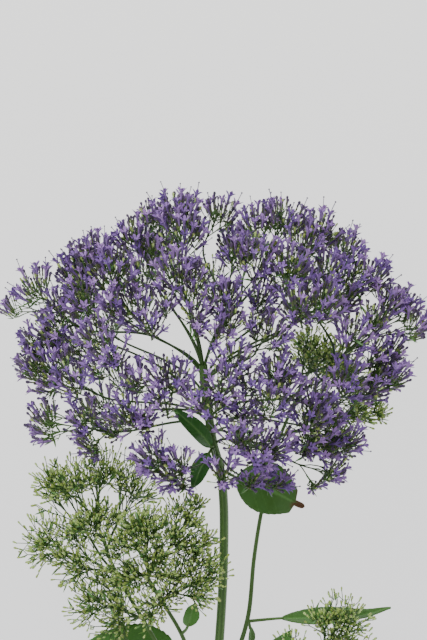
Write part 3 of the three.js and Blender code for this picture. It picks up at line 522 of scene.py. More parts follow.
def neighbours(blooms, count):
    """Splits blooms into groups that stand near each other. It starts from blooms that are far apart,
    and sorts twice, because the first sort moves the middles of the groups."""
    centres = [blooms[0].foot]
    while len(centres) < min(count, len(blooms)):
        centres.append(max((b.foot for b in blooms), key=lambda p: min((p - c).length for c in centres)))
    for _ in range(2):
        groups = [[] for _ in centres]
        for bloom in blooms:
            nearest = min(range(len(centres)), key=lambda k: (bloom.foot - centres[k]).length)
            groups[nearest].append(bloom)
        groups = [group for group in groups if group]
        centres = [mean([b.foot for b in group]) for group in groups]
    return groups


def fork(twigs, start, way, blooms, tones, pedicel, rng):
    """Grows stalks from a point to the feet of its blooms, forking on the way."""
    last = len(blooms) <= LAST_GROUP
    if last and (mean([b.foot for b in blooms]) - start).length < pedicel * NEAR_KNOT:
        for bloom in blooms:
            end = radius_for(1)
            twigs.stalk([start, bloom.foot + bloom.way * end], (end * 1.1, end), tones)
        return
    for group in neighbours(blooms, 1 if last else 2 if len(blooms) < SMALL_CROWN else 3):
        middle = mean([b.foot for b in group])
        onto = mean([b.way for b in group])
        if len(group) <= LAST_GROUP:
            knot = middle - onto * pedicel
        else:
            knot = start.lerp(middle, FORK_SHARE * rng.uniform(0.8, 1.2))
        onward = ((knot - start).normalized() + way * FORK_LEAN + onto * FORK_LEAN).normalized()
        thick = radius_for(len(group))
        tone = tones[0] + (tones[1] - tones[0]) * TONE_STEP
        twigs.bow(start, way, knot, onward, (thick * 1.05, thick * 0.95), (tones[0], tone), BOW_STEPS)
        add_bract(twigs, knot, onward, rng)
        fork(twigs, knot, onward, group, (tone, tones[1]), pedicel, rng)


BRACT_CHANCE = 0.35
BRACT_LENGTH = 4.2
BRACT_SIZES = (0.7, 1.35)


def add_bract(twigs, knot, way, rng):
    """Now and then a small narrow leaf stands at a fork."""
    if rng.random() > BRACT_CHANCE:
        return
    side, other = crossways(way)
    angle = rng.uniform(0, 2 * math.pi)
    out = (way * 0.8 + side * math.cos(angle) + other * math.sin(angle)).normalized()
    if knot.z + out.z * BRACT_LENGTH > FLOOR_ROOM:
        twigs.blooms.append(Bloom(knot, out, BRACT, rng.uniform(*BRACT_SIZES), rng.random()))


def crown(twigs, foot, way, fans, habit, rng):
    """A collar, and all that forks from it to the places of its fans."""
    top = foot + way * COLLAR
    blooms = []
    for x, y, z, reach in fans:
        face = Vector((x, y, z))
        out = (face - top).normalized()
        blooms += fan_blooms(face - out * ARM_LENGTH * reach, out, reach, habit, rng)
    thick = radius_for(len(blooms))
    twigs.stalk([foot - way, foot, top], (thick, thick), (habit.tones[0],) * 2)
    twigs.blooms += blooms
    fork(twigs, top, way, blooms, habit.tones, habit.pedicel, rng)


# Branches


def stem_path():
    """The stem's centre line."""
    return Path(curved([Vector(p) for p in STEM_LINE]))


def spray_way(spray):
    """The direction from a spray's neck to its fans."""
    return (mean([Vector(fan[:3]) for fan in spray.fans]) - Vector(spray.neck)).normalized()


def branch_paths():
    """The path of each branch from its carrier to its neck, by the spray's name."""
    stem = stem_path()
    by_name = {spray.name: spray for spray in SPRAYS}
    paths = {}

    def path_of(spray):
        if spray.name in paths:
            return paths[spray.name]
        if isinstance(spray.start, tuple):
            carrier, share = path_of(by_name[spray.start[0]]), spray.start[1]
            start = Path([carrier.at(k / FORK_STEPS) for k in range(FORK_STEPS + 1)]).at(share)
        else:
            carrier, share = stem, stem.share_at(spray.start)
            start = carrier.at(share)
        neck, way = Vector(spray.neck), spray_way(spray)
        reach = (neck - start).length
        leave = start + carrier.way(share) * BRANCH_PULL * reach
        leave += (neck - start).normalized() * NECK_PULL * reach
        arrive = neck - way * BRANCH_PULL * reach
        paths[spray.name] = Path(bezier(start, leave, arrive, neck, PATH_STEPS))
        return paths[spray.name]

    for spray in SPRAYS:
        path_of(spray)
    return paths


# Meshes


def object_of(name, points, faces):
    """An object from points in metres and faces, linked to the scene."""
    mesh = bpy.data.meshes.new(name)
    mesh.from_pydata([tuple(p) for p in points], [], faces)
    mesh.validate()
    return linked(name, mesh)


def linked(name, data):
    """A new object of the scene, with a mesh, a camera or a light."""
    made = bpy.data.objects.new(name, data)
    bpy.context.scene.collection.objects.link(made)
    return made


def store(mesh, name, kind, values):
    """Keeps one value for each point of a mesh."""
    attribute = mesh.attributes.new(name, kind, "POINT")
    if kind == "FLOAT_VECTOR":
        attribute.data.foreach_set("vector", [c for value in values for c in value])
    else:
        attribute.data.foreach_set("value", values)


def part_object(name, points, along, faces):
    """A part of a flower, from points in millimetres and the place of each along the part, from 0 to 1."""
    made = object_of(name, [p * MM for p in points], faces)
    store(made.data, "along", "FLOAT", along)
    return made


TURNED_SIDES = 5
STYLE_SIDES = 3


def ring(radius, height, sides, aside=0.0):
    """Points round the axis, or round a line that stands aside from it."""
    return [Vector((aside + radius * math.cos(a), radius * math.sin(a), height)) for a in around(sides)]


def ringed(name, rings, tip, foot=None):
    """A closed form through rings of points. It ends in a point, and starts in one or in a flat face.
    Each ring and each end comes with its place along the part."""
    sides = len(rings[0][0])
    last = sides * len(rings)
    ends = [tip, foot] if foot else [tip]
    points = [p for ring_points, _ in rings for p in ring_points] + [p for p, _ in ends]
    along = [share for _, share in rings for _ in range(sides)] + [share for _, share in ends]
    faces = [] if foot else [tuple(reversed(range(sides)))]
    for i in range(sides):
        j = (i + 1) % sides
        for low in range(0, last - sides, sides):
            faces.append((low + i, low + j, low + sides + j, low + sides + i))
        faces.append((last - sides + i, last - sides + j, last))
        if foot:
            faces.append((j, i, last + 1))
    return part_object(name, points, along, faces)


def turned(name, profile):
    """A closed turned form. profile has rows of radius, height and place along the part, and the first
    and the last row lie on the axis."""
    rings = [(ring(radius, height, TURNED_SIDES), share) for radius, height, share in profile[1:-1]]
    foot, tip = [(Vector((0, 0, height)), share) for _, height, share in (profile[0], profile[-1])]
    return ringed(name, rings, tip, foot)


LOBES = 5
TUBE_FOOT = 0.32  # radius of the tube where it leaves the calyx, in millimetres
TUBE_START = 0.9  # its height there
THROAT = 0.62  # radius of the throat
LOBE_HALF = 0.68  # half width of a lobe at its broadest
LOBE_RISE = 1.7  # height of a lobe's tip over the throat
LOBE_UNEVEN = 0.4  # how far that differs from lobe to lobe
LOBE_RIDGE = (0.58, 0.95)  # middle of a lobe's upper side: share of the reach, height over the throat
LOBE_BACK = (0.62, 0.8)  # middle of its lower side
# Outline of half a lobe from its foot to near its tip: share of the half width, share of the reach,
# height over the throat, and place along the flower
LOBE_EDGE = [(-0.8, 0.42, 0.75, 0.7), (-1, 0.64, 1.2, 0.82)]


def corolla(sizes):
    """An open flower from its tube to the tips of its lobes, as one closed form along +Z."""
    reach, tube = sizes.lobe_reach / MM, sizes.tube_length / MM
    points, along, faces = [], [], []

    def point(radius, angle, height, share, aside=0.0):
        """Adds a point from its place round the axis, and gives its number."""
        out = Vector((math.cos(angle), math.sin(angle), 0))
        points.append(out * radius + Vector((-out.y, out.x, 0)) * aside + UP * height)
        along.append(share)
        return len(points) - 1

    def lobe_side(middle, side):
        """Adds half the outline of a lobe, on its near side (1) or its far side (-1)."""
        rows = LOBE_EDGE if side > 0 else LOBE_EDGE[::-1]
        return [point(r * reach, middle, tube + z, share, side * x * LOBE_HALF) for x, r, z, share in rows]

    corners = around(LOBES)
    low = [point(TUBE_FOOT, a, TUBE_START, 0.12) for a in corners]
    high = [point(THROAT + 0.03, a, tube - 0.15, 0.5) for a in corners]
    rim = [point(THROAT, a, tube + 0.02, 0.56) for a in corners]
    foot = point(0, 0, TUBE_START - 0.1, 0.1)
    well = point(0, 0, 0.72 * tube, 0.36)
    for i in range(LOBES):
        j = (i + 1) % LOBES
        faces += [(foot, low[j], low[i]), (low[i], low[j], high[j], high[i]), (rim[i], rim[j], well)]
        middle = corners[i] + math.pi / LOBES
        tip = point(reach, middle, tube + LOBE_RISE + LOBE_UNEVEN * math.sin(2.4 * i), 1.0)
        ridge = point(LOBE_RIDGE[0] * reach, middle, tube + LOBE_RIDGE[1], 0.78)
        back = point(LOBE_BACK[0] * reach, middle, tube + LOBE_BACK[1], 0.7)
        outline = [*lobe_side(middle, 1), tip, *lobe_side(middle, -1)]
        top = [rim[i], *outline, rim[j]]
        under = [high[i], *outline, high[j]]
        faces += [(a, b, ridge) for a, b in zip(top, top[1:])] + [(rim[j], rim[i], ridge)]
        faces += [(b, a, back) for a, b in zip(under, under[1:])] + [(high[i], high[j], back)]
        faces += [(rim[i], high[i], outline[0]), (high[j], rim[j], outline[-1])]
    return part_object("open_flower", points, along, faces)


STYLE_RADIUS = 0.18
STYLE_BEND = 0.45  # how far the tip stands aside
STIGMA_RADIUS = 0.5


def style(sizes):
    """The thread that stands out of an open flower, with the knob on its tip."""
    tube, top = sizes.tube_length / MM, (sizes.tube_length + sizes.style_length) / MM
    middle = tube + 0.45 * (top - tube)
    rings = [(ring(STYLE_RADIUS, 0.6 * tube, STYLE_SIDES), 0.0),
             (ring(STYLE_RADIUS, middle, STYLE_SIDES, 0.3 * STYLE_BEND), 0.3),
             (ring(STYLE_RADIUS, top - 0.35, STYLE_SIDES, STYLE_BEND), 0.6),
             (ring(STIGMA_RADIUS, top - 0.05, STYLE_SIDES, STYLE_BEND), 0.95)]
    return ringed("style", rings, (Vector((STYLE_BEND, 0, top + 0.37)), 1.0))


def calyx():
    """The swollen green foot of a flower."""
    return turned("calyx", [(0, -0.05, 0), (0.46, 0.55, 0.5), (0.38, 1.4, 1.0), (0, 1.2, 1.0)])


def closed_flower(sizes):
    """A flower that hasn't opened: a slender tube with a round head."""
    full = sizes.closed_length / MM
    return turned("closed_flower", [
        (0, TUBE_START, 0.1), (0.28, TUBE_START + 0.1, 0.15), (0.4, 0.62 * full, 0.5),
        (0.78, 0.8 * full, 0.78), (0.6, 0.94 * full, 0.93), (0, full, 1.0)])


def green_bud(sizes):
    """A young bud: its calyx and the small closed flower on it."""
    full = sizes.green_length / MM
    return turned("green_bud", [
        (0, -0.05, 0), (0.27, 0.04, 0.05), (0.36, 0.4 * full, 0.4), (0.52, 0.7 * full, 0.75),
        (0.3, 0.95 * full, 0.95), (0, full, 1.0)])


def bract():
    """A small narrow leaf, folded along its middle."""
    rings = []
    for height, half in ((0, 0.12), (0.9, 0.36), (2.1, 0.4), (3.3, 0.22)):
        rows = ((-half, 0.35 * half), (0, -0.1), (half, 0.35 * half), (0, 0.08))
        rings.append(([Vector((x, y, height)) for x, y in rows], height / BRACT_LENGTH))
    return ringed("bract", rings, (Vector((0, 0.1, BRACT_LENGTH)), 1.0))


# Materials

SATURATION_SPREAD = 0.2  # between the palest and the fullest of like parts


def put(tree, kind, feeds=None, **settings):
    """Adds a node with its settings. feeds gives each input a value or the output that it takes."""
    node = tree.nodes.new(kind)
    for key, value in settings.items():
        setattr(node, key, value)
    for key, value in (feeds or {}).items():
        named = [socket for socket in node.inputs if socket.identifier == key]
        socket = named[0] if named else node.inputs[key]
        if isinstance(value, bpy.types.NodeSocket):
            tree.links.new(value, socket)
        else:
            socket.default_value = value
    return node


def finish(name, roughness, specular=0.5):
    """A new material with its Principled shader."""
    made = bpy.data.materials.new(name)
    made.use_nodes = True
    shader = made.node_tree.nodes["Principled BSDF"]
    shader.inputs["Roughness"].default_value = roughness
    shader.inputs["Specular IOR Level"].default_value = specular
    return made, made.node_tree, shader


def wide(colour):
    """A colour with full alpha."""
    return (*colour, 1.0)


def ramp(tree, source, stops):
    """A colour ramp through (place, colour) stops."""
    node = put(tree, "ShaderNodeValToRGB", {"Fac": source})
    bar = node.color_ramp
    while len(bar.elements) < len(stops):
        bar.elements.new(0.5)
    for element, (place, colour) in zip(bar.elements, stops):
        element.position = place
        element.color = wide(colour)
    return node.outputs["Color"]


def reading(tree, name):
    """The value that a mesh keeps under a name, in a material."""
    return put(tree, "ShaderNodeAttribute", attribute_name=name).outputs["Fac"]


def grain(tree, millimetres):
    """Noise on the object's own coordinates, with blotches of a size in millimetres."""
    place = put(tree, "ShaderNodeTexCoord").outputs["Object"]
    node = put(tree, "ShaderNodeTexNoise", {"Vector": place, "Scale": 1 / (millimetres * MM),
                                            "Detail": 2.0, "Roughness": 0.55})
    return node.outputs["Fac"]


def varied(tree, colour, tint, hue=0.02, value=0.35):
    """The colour, lighter or darker and warmer or cooler by a tint from 0 to 1."""
    def spread(width, middle):
        low, high = middle - width / 2, middle + width / 2
        return put(tree, "ShaderNodeMapRange", {"Value": tint, "To Min": low, "To Max": high}).outputs[0]
    return put(tree, "ShaderNodeHueSaturation", {
        "Hue": spread(hue, 0.5), "Saturation": spread(-SATURATION_SPREAD, 1.0), "Value": spread(value, 1.0),
        "Color": colour}).outputs["Color"]


def bump(tree, height, strength, depth):
    """A bump from a height, with its depth in millimetres."""
    return put(tree, "ShaderNodeBump", {"Height": height, "Strength": strength,
                                        "Distance": depth * MM}).outputs["Normal"]


def part_finish(name, stops, roughness, specular=0.5, hue=0.02, value=0.35):
    """A finish whose colours run along the part, and vary from one flower or bud to the next."""
    made, tree, shader = finish(name, roughness, specular)
    along = ramp(tree, reading(tree, "along"), stops)
    tree.links.new(varied(tree, along, reading(tree, "tint"), hue, value), shader.inputs["Base Color"])
    return made


def petal_material(colours):
    """Thin violet corolla: soft and matt, dusky down the tube, and pale on the ridge of a lobe, partly its
    own colour and partly a painted highlight.
    """
    made, tree, shader = finish("Violet corolla", roughness=0.62, specular=0.25)
    # Pale at the throat's rim and the lobe tips: partly a painted highlight.
    along = ramp(tree, reading(tree, "along"), [
        (0.12, colours.tube), (0.45, colours.tube), (0.56, colours.petal_pale_and_highlight), (0.75, colours.petal),
        (0.9, colours.petal), (1.0, colours.petal_pale_and_highlight)])
    veined = put(tree, "ShaderNodeMix", {"Factor_Float": grain(tree, 0.9), "A_Color": along,
                                         "B_Color": wide(colours.petal)}, data_type="RGBA")
    tree.links.new(varied(tree, veined.outputs["Result"], reading(tree, "tint"), 0.03, 0.4),
                   shader.inputs["Base Color"])
    return made


def closed_material(colours):
    """Closed corolla: olive at its foot, a dusky tube and a dark plum knob, slightly waxy."""
    return part_finish("Plum closed corolla", [
        (0.25, colours.calyx), (0.5, colours.stalk_violet), (0.65, colours.tube), (0.82, colours.closed)],
        roughness=0.45, specular=0.4, hue=0.04, value=0.7)


def style_material(colours):
    """Style: a matt grey lilac thread with a dusky knob."""
    return part_finish("Lilac style", [(0.62, colours.style), (0.9, colours.stigma)], roughness=0.6)


def calyx_material(colours):
    """Calyx: olive green, a little waxy, dark at its foot and violet at its rim."""
    return part_finish("Olive calyx", [
        (0.0, colours.stalk_deep), (0.5, colours.calyx), (1.0, colours.stalk_violet)],
        roughness=0.5, hue=0.03, value=0.6)


def bud_material(colours):
    """Green bud: lime green and waxy, with a dark foot and a brownish tip."""
    return part_finish("Lime green bud", [
        (0.05, colours.stalk_fresh), (0.35, colours.green_bud), (0.8, colours.green_bud),
        (0.97, colours.bud_tip)], roughness=0.42, specular=0.4, value=0.5)


def bract_material(colours):
    """Bract: a satin green blade, paler towards its tip."""
    return part_finish("Fresh green bract", [(0.0, colours.stalk_deep), (0.6, colours.leaf_vein)],
                       roughness=0.5, hue=0.03, value=0.5)


def stalk_material(colours):
    """Thin stalks: fresh green on the shoots, deep green in the head and violet under the flowers."""
    made, tree, shader = finish("Green to violet stalk", roughness=0.48, specular=0.4)
    toned = ramp(tree, reading(tree, "tone"), [
        (0.0, colours.stalk_fresh), (0.5, colours.stalk_deep), (1.0, colours.stalk_violet)])
    tree.links.new(varied(tree, toned, grain(tree, 1.6), 0.03, 0.6), shader.inputs["Base Color"])
    return made


# Repeats of the stem's streaks in a metre: about 0.45 mm wide and 9 mm long
STREAKS = (2200, 110, 2200)


def stem_material(colours):
    """Herbaceous stem: satin green skin with fine streaks and a darker crown, with painted light on the
    backs of its ribs and painted shade in the grooves.
    """
    made, tree, shader = finish("Ribbed green stem", roughness=0.42, specular=0.45)
    place = put(tree, "ShaderNodeTexCoord").outputs["Object"]
    drawn_out = put(tree, "ShaderNodeMapping", {"Vector": place, "Scale": STREAKS})
    streaks = put(tree, "ShaderNodeTexNoise", {"Vector": drawn_out.outputs[0], "Scale": 1.0,
                                               "Detail": 3.0}).outputs["Fac"]
    ribbed = put(tree, "ShaderNodeMath", {0: reading(tree, "rib"), 1: streaks}, operation="ADD")
    # Painted light and shade: lighter on the backs of the ribs and darker in the grooves.
    skin = ramp(tree, put(tree, "ShaderNodeMath", {0: ribbed.outputs[0], 1: 0.5},
                          operation="MULTIPLY").outputs[0],
                [(0.2, colours.stem), (0.75, colours.stem_rib_painted_light)])
    toned = put(tree, "ShaderNodeMix", {"Factor_Float": reading(tree, "tone"), "A_Color": skin,
                                        "B_Color": wide(colours.stalk_deep)}, data_type="RGBA")
    tree.links.new(toned.outputs["Result"], shader.inputs["Base Color"])
    tree.links.new(bump(tree, streaks, 0.35, 0.12), shader.inputs["Normal"])
    return made


def leaf_material(name, colours, base, roughness):
    """Leaf: a green blade with a paler net of veins and a fine pebbled skin between them. The pale midrib
    is partly the vein's own colour and partly a painted highlight.
    """
    made, tree, shader = finish(name, roughness=roughness, specular=0.3)
    veins = reading(tree, "vein")
    blotch = varied(tree, wide(base), grain(tree, 5.0), 0.02, 0.3)
    # The pale midrib is partly painted highlight.
    veined = put(tree, "ShaderNodeMix", {"Factor_Float": veins, "A_Color": blotch,
                                         "B_Color": wide(colours.leaf_vein)}, data_type="RGBA")
    dried = put(tree, "ShaderNodeMix", {"Factor_Float": reading(tree, "dry"),
                                        "A_Color": veined.outputs["Result"],
                                        "B_Color": wide(colours.withered)}, data_type="RGBA")
    tree.links.new(dried.outputs["Result"], shader.inputs["Base Color"])
    tree.links.new(bump(tree, grain(tree, 0.5), 0.4, 0.15), shader.inputs["Normal"])
    return made


def floor_material(stage):
    """Seamless matt studio paper, lighter at the far end, a painted fall-off of the light. It glows
    everywhere, a painted light that lifts the shade that the plant casts on it.
    """
    made, tree, shader = finish("Matt studio paper", roughness=0.95, specular=0.1)
    place = put(tree, "ShaderNodeTexCoord").outputs["Object"]
    along = put(tree, "ShaderNodeSeparateXYZ", {"Vector": place}).outputs["Y"]
    share = put(tree, "ShaderNodeMapRange", {"Value": along, "From Min": 0.09, "From Max": 0.37})
    tone = ramp(tree, share.outputs[0], [(0.0, stage.floor_bottom), (1.0, stage.floor_top)])
    # The floor's own colour is dimmed so that its painted glow outweighs the shade on it.
    dim = put(tree, "ShaderNodeHueSaturation", {"Color": tone, "Value": 0.25}).outputs["Color"]
    tree.links.new(dim, shader.inputs["Base Color"])
    tree.links.new(tone, shader.inputs["Emission Color"])
    shader.inputs["Emission Strength"].default_value = stage.floor_glow
    return made


# Geometry Nodes


def group_of(name, sockets):
    """A Geometry Nodes tree with a geometry input and output and the named inputs between them."""
    tree = bpy.data.node_groups.new(name, "GeometryNodeTree")
    tree.interface.new_socket("Geometry", in_out="INPUT", socket_type="NodeSocketGeometry")
    for label, kind in sockets:
        tree.interface.new_socket(label, in_out="INPUT", socket_type="NodeSocket" + kind)
    tree.interface.new_socket("Geometry", in_out="OUTPUT", socket_type="NodeSocketGeometry")
    source = put(tree, "NodeGroupInput")
    return tree, {socket.name: socket for socket in source.outputs}


def swept(tree, curves, profile, thick, material):
    """Curves swept with a profile, whose size follows a value kept on the points."""
    tube = put(tree, "GeometryNodeCurveToMesh", {"Curve": curves, "Profile Curve": profile,
                                                 "Scale": thick, "Fill Caps": True})
    whole = put(tree, "GeometryNodeRealizeInstances", {"Geometry": tube.outputs[0]})
    smooth = put(tree, "GeometryNodeSetShadeSmooth", {"Geometry": whole.outputs[0]})
    return put(tree, "GeometryNodeSetMaterial", {"Geometry": smooth.outputs[0],
                                                 "Material": material}).outputs[0]


def kept(tree, name, kind="FLOAT"):
    """The value that the points keep under a name, in a Geometry Nodes tree."""
    return put(tree, "GeometryNodeInputNamedAttribute", {"Name": name}, data_type=kind).outputs["Attribute"]


# The parts of flowers and buds, and the kinds that have them
BLOOM_PARTS = [
    ("Open flower", (OPEN, STYLED)),
    ("Style", (STYLED,)),
    ("Calyx", (OPEN, STYLED, CLOSED, YOUNG)),
    ("Closed flower", (CLOSED, YOUNG)),
    ("Green bud", (GREEN,)),
    ("Bract", (BRACT,)),
]


def twig_tree():
    """Sweeps the stalks of a piece, thick and thin, and sets the parts of its blooms on their places."""
    sockets = [("Stout sides", "Int"), ("Slender sides", "Int"), ("Stout from", "Float"),
               ("Stalk finish", "Material")]
    for part, _ in BLOOM_PARTS:
        sockets += [(part, "Object"), (part + " finish", "Material")]
    tree, given = group_of("Flowering twigs", sockets)
    thick = kept(tree, "thick")
    stout = put(tree, "FunctionNodeCompare", {"A": thick, "B": given["Stout from"]},
                operation="GREATER_EQUAL")
    slender = put(tree, "FunctionNodeBooleanMath", {0: stout.outputs[0]}, operation="NOT")
    made = []
    for chosen, sides in ((stout.outputs[0], "Stout sides"), (slender.outputs[0], "Slender sides")):
        curves = put(tree, "GeometryNodeMeshToCurve", {"Mesh": given["Geometry"], "Selection": chosen})
        round_profile = put(tree, "GeometryNodeCurvePrimitiveCircle", {"Resolution": given[sides],
                                                                       "Radius": MM}, mode="RADIUS")
        made.append(swept(tree, curves.outputs[0], round_profile.outputs[0], thick, given["Stalk finish"]))
    turned = put(tree, "FunctionNodeAxisAngleToRotation", {"Axis": UP, "Angle": kept(tree, "spin")})
    facing = put(tree, "FunctionNodeAlignRotationToVector", {"Rotation": turned.outputs[0],
                                                             "Vector": kept(tree, "way", "FLOAT_VECTOR")},
                 axis="Z")
    for part, kinds in BLOOM_PARTS:
        template = put(tree, "GeometryNodeObjectInfo", {"Object": given[part]})
        spots = put(tree, "GeometryNodeInstanceOnPoints", {
            "Points": given["Geometry"], "Selection": is_one_of(tree, kinds),
            "Instance": template.outputs["Geometry"], "Rotation": facing.outputs[0],
            "Scale": kept(tree, "size")})
        real = put(tree, "GeometryNodeRealizeInstances", {"Geometry": spots.outputs[0]})
        made.append(put(tree, "GeometryNodeSetMaterial", {"Geometry": real.outputs[0],
                                                          "Material": given[part + " finish"]}).outputs[0])
    whole = put(tree, "GeometryNodeJoinGeometry")
    for geometry in reversed(made):
        tree.links.new(geometry, whole.inputs[0])
    put(tree, "NodeGroupOutput", {0: whole.outputs[0]})
    return tree


def is_one_of(tree, kinds):
    """Whether a point's kind is one of several."""
    kind = kept(tree, "kind", "INT")
    answer = None
    for value in kinds:
        same = put(tree, "FunctionNodeCompare", {"A_INT": kind, "B_INT": value}, data_type="INT",
                   operation="EQUAL").outputs[0]
        answer = same if answer is None else put(tree, "FunctionNodeBooleanMath", {0: answer, 1: same},
                                                 operation="OR").outputs[0]
    return answer


def stem_tree():
    """Sweeps the stem and its branches with a ribbed profile."""
    tree, given = group_of("Ribbed stem", [("Profile", "Object"), ("Stem finish", "Material")])
    curves = put(tree, "GeometryNodeMeshToCurve", {"Mesh": given["Geometry"]})
    profile = put(tree, "GeometryNodeObjectInfo", {"Object": given["Profile"]})
    outline = put(tree, "GeometryNodeMeshToCurve", {"Mesh": profile.outputs["Geometry"]})
    made = swept(tree, curves.outputs[0], outline.outputs[0], kept(tree, "thick"), given["Stem finish"])
    put(tree, "NodeGroupOutput", {0: made})
    return tree


def run_tree(made, tree, values):
    """Runs a tree on an object, and leaves what it makes as the object's own plain mesh."""
    modifier = made.modifiers.new(tree.name, "NODES")
    modifier.node_group = tree
    for item in tree.interface.items_tree:
        if item.item_type == "SOCKET" and item.in_out == "INPUT" and item.name in values:
            modifier[item.identifier] = values[item.name]
    settled = made.evaluated_get(bpy.context.evaluated_depsgraph_get())
    mesh = bpy.data.meshes.new_from_object(settled)
    made.modifiers.clear()
    made.data = mesh
    if not mesh.polygons:
        raise RuntimeError(made.name + " has no faces")
    return made


def twig_object(name, twigs, rng):
    """The points and edges of a piece's twigs, with what the tree reads from them."""
    points, edges, thick, tone = [], [], [], []
    for line, radii, tones in twigs.stalks:
        for k, point in enumerate(line):
            share = k / (len(line) - 1)
            if k:
                edges.append((len(points) - 1, len(points)))
            points.append(point)
            thick.append(radii[0] + (radii[1] - radii[0]) * share)
            tone.append(tones[0] + (tones[1] - tones[0]) * share)
    stalk_points = len(points)
    points += [bloom.foot for bloom in twigs.blooms]
    mesh = bpy.data.meshes.new(name)
    mesh.from_pydata([tuple(p * MM) for p in points], edges, [])
    blank = [0.0] * stalk_points
    store(mesh, "thick", "FLOAT", thick + [0.0] * len(twigs.blooms))
    store(mesh, "tone", "FLOAT", tone + [0.0] * len(twigs.blooms))
    store(mesh, "kind", "INT", [0] * stalk_points + [b.kind for b in twigs.blooms])
    store(mesh, "way", "FLOAT_VECTOR", [UP] * stalk_points + [b.way for b in twigs.blooms])
    store(mesh, "spin", "FLOAT", blank + [rng.uniform(0, 2 * math.pi) for _ in twigs.blooms])
    store(mesh, "size", "FLOAT", blank + [b.size for b in twigs.blooms])
    store(mesh, "tint", "FLOAT", blank + [b.tint for b in twigs.blooms])
    return linked(name, mesh)


def hand_over(piece, node):
    """The piece stands for a node of the frame and rides with it."""
    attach(piece, "root")
    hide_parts(node)


def material_of(name, make, *values):
    """The material of that name, made the first time it is asked for."""
    return bpy.data.materials.get(name) or make(*values)


PART_FINISHES = {
    "Open flower": ("Violet corolla", petal_material),
    "Style": ("Lilac style", style_material),
    "Calyx": ("Olive calyx", calyx_material),
    "Closed flower": ("Plum closed corolla", closed_material),
    "Green bud": ("Lime green bud", bud_material),
    "Bract": ("Fresh green bract", bract_material),
}
STOUT_FROM = 0.47  # radius from which a stalk looks round, and needs more sides
STOUT_SIDES = 7
SLENDER_SIDES = 3


class Kit:
    """The templates, finishes and tree that all flowering pieces share. Templates go once it is used."""

    def __init__(self, scene):
        sizes, colours = scene.throatwort_sizes, scene.throatwort_colours
        self.templates = {
            "Open flower": corolla(sizes), "Style": style(sizes), "Calyx": calyx(),
            "Closed flower": closed_flower(sizes), "Green bud": green_bud(sizes), "Bract": bract()}
        self.finishes = {part: material_of(name, make, colours)
                         for part, (name, make) in PART_FINISHES.items()}
        self.stalks = material_of("Green to violet stalk", stalk_material, colours)
        self.tree = bpy.data.node_groups.get("Flowering twigs") or twig_tree()

    def grow(self, name, twigs, rng):
        """The plain mesh of some twigs with all that grows on them."""
        values = {"Stout sides": STOUT_SIDES, "Slender sides": SLENDER_SIDES, "Stout from": STOUT_FROM,
                  "Stalk finish": self.stalks}
        for part, template in self.templates.items():
            values[part] = template
            values[part + " finish"] = self.finishes[part]
        return run_tree(twig_object(name, twigs, rng), self.tree, values)

    def clear(self):
        """Takes the templates out of the scene."""
        for template in self.templates.values():
            bpy.data.objects.remove(template)


# What grows in the places of the fans


def violet_habit(sizes):
    """Open flowers where there is room, closed ones between them and young buds lower down."""
    opened, closed, green = sizes.tube_length / MM, sizes.closed_length / MM, sizes.green_length / MM
    mixes = [Mix(CLOSED, 0.35, (0.7, 1.15), (0.7, 1.05), closed),
             Mix(OPEN, 0.17, (0.75, 1.1), (0.9, 1.1), opened),
             Mix(STYLED, 0.08, (0.85, 1.1), (0.9, 1.1), opened),
             Mix(YOUNG, 0.25, (0.45, 1.05), (0.45, 0.65), closed),
             Mix(GREEN, 0.15, (0.4, 1.1), (0.8, 1.2), green)]
    return Habit(spacing=sizes.violet_spacing / MM, mixes=mixes, lean=violet_lean, tones=(0.5, 0.15),
                 pedicel=3.0, crowd=Crowd(sizes.flower_room / MM))


def green_habit(sizes):
    """Nothing but green buds, all through the fan."""
    mixes = [Mix(GREEN, 1, (0.35, 1.25), (0.75, 1.1), sizes.green_length / MM)]
    return Habit(spacing=sizes.green_spacing / MM, mixes=mixes, lean=green_lean, tones=(0.45, 0.3),
                 pedicel=1.9, crowd=None)


class THROATWORT_OT_sprays(Operator):
    """Grows the violet sprays of the head."""

    bl_idname = "throatwort.sprays"
    bl_label = "Violet sprays"
    bl_options = {"REGISTER", "UNDO"}

    def execute(self, context):
        kit = Kit(context.scene)
        habit = violet_habit(context.scene.throatwort_sizes)
        for i, spray in enumerate(SPRAYS):
            rng = random.Random(SEED + i)
            twigs = Twigs()
            fans = spray.fans + FILLERS.get(spray.name, [])
            crown(twigs, Vector(spray.neck), spray_way(spray), fans, habit, rng)
            piece = kit.grow("flowers_" + spray.name, twigs, rng)
            hand_over(piece, "spray_" + spray.name)
        kit.clear()
        return {"FINISHED"}


SHOOT_SEED = SEED + 100
SHOOT_ROOT = 1.1  # radii of a side shoot
SHOOT_TIP = 0.7
SHOOT_STEPS = 6  # for each point of its line


class THROATWORT_OT_shoots(Operator):
    """Grows the side shoots with their closed green buds."""

    bl_idname = "throatwort.shoots"
    bl_label = "Bud shoots"
    bl_options = {"REGISTER", "UNDO"}

    def execute(self, context):
        kit = Kit(context.scene)
        habit = green_habit(context.scene.throatwort_sizes)
        for i, shoot in enumerate(SHOOTS):
            rng = random.Random(SHOOT_SEED + i)
            twigs = Twigs()
            path = Path(curved([Vector(p) for p in shoot.line]))
            steps = SHOOT_STEPS * len(shoot.line)
            line = [path.at(k / steps) for k in range(steps + 1)]
            twigs.stalk(line, (SHOOT_ROOT, SHOOT_TIP), (0.35, 0.2))
            for share, fans in shoot.forks:
                foot = path.at(share)
                way = (mean([Vector(fan[:3]) for fan in fans]) - foot).normalized()
                crown(twigs, foot, way, fans, habit, rng)
            piece = kit.grow("buds_" + shoot.name.removeprefix("bud_shoot_"), twigs, rng)
            hand_over(piece, shoot.name)
        kit.clear()
        return {"FINISHED"}


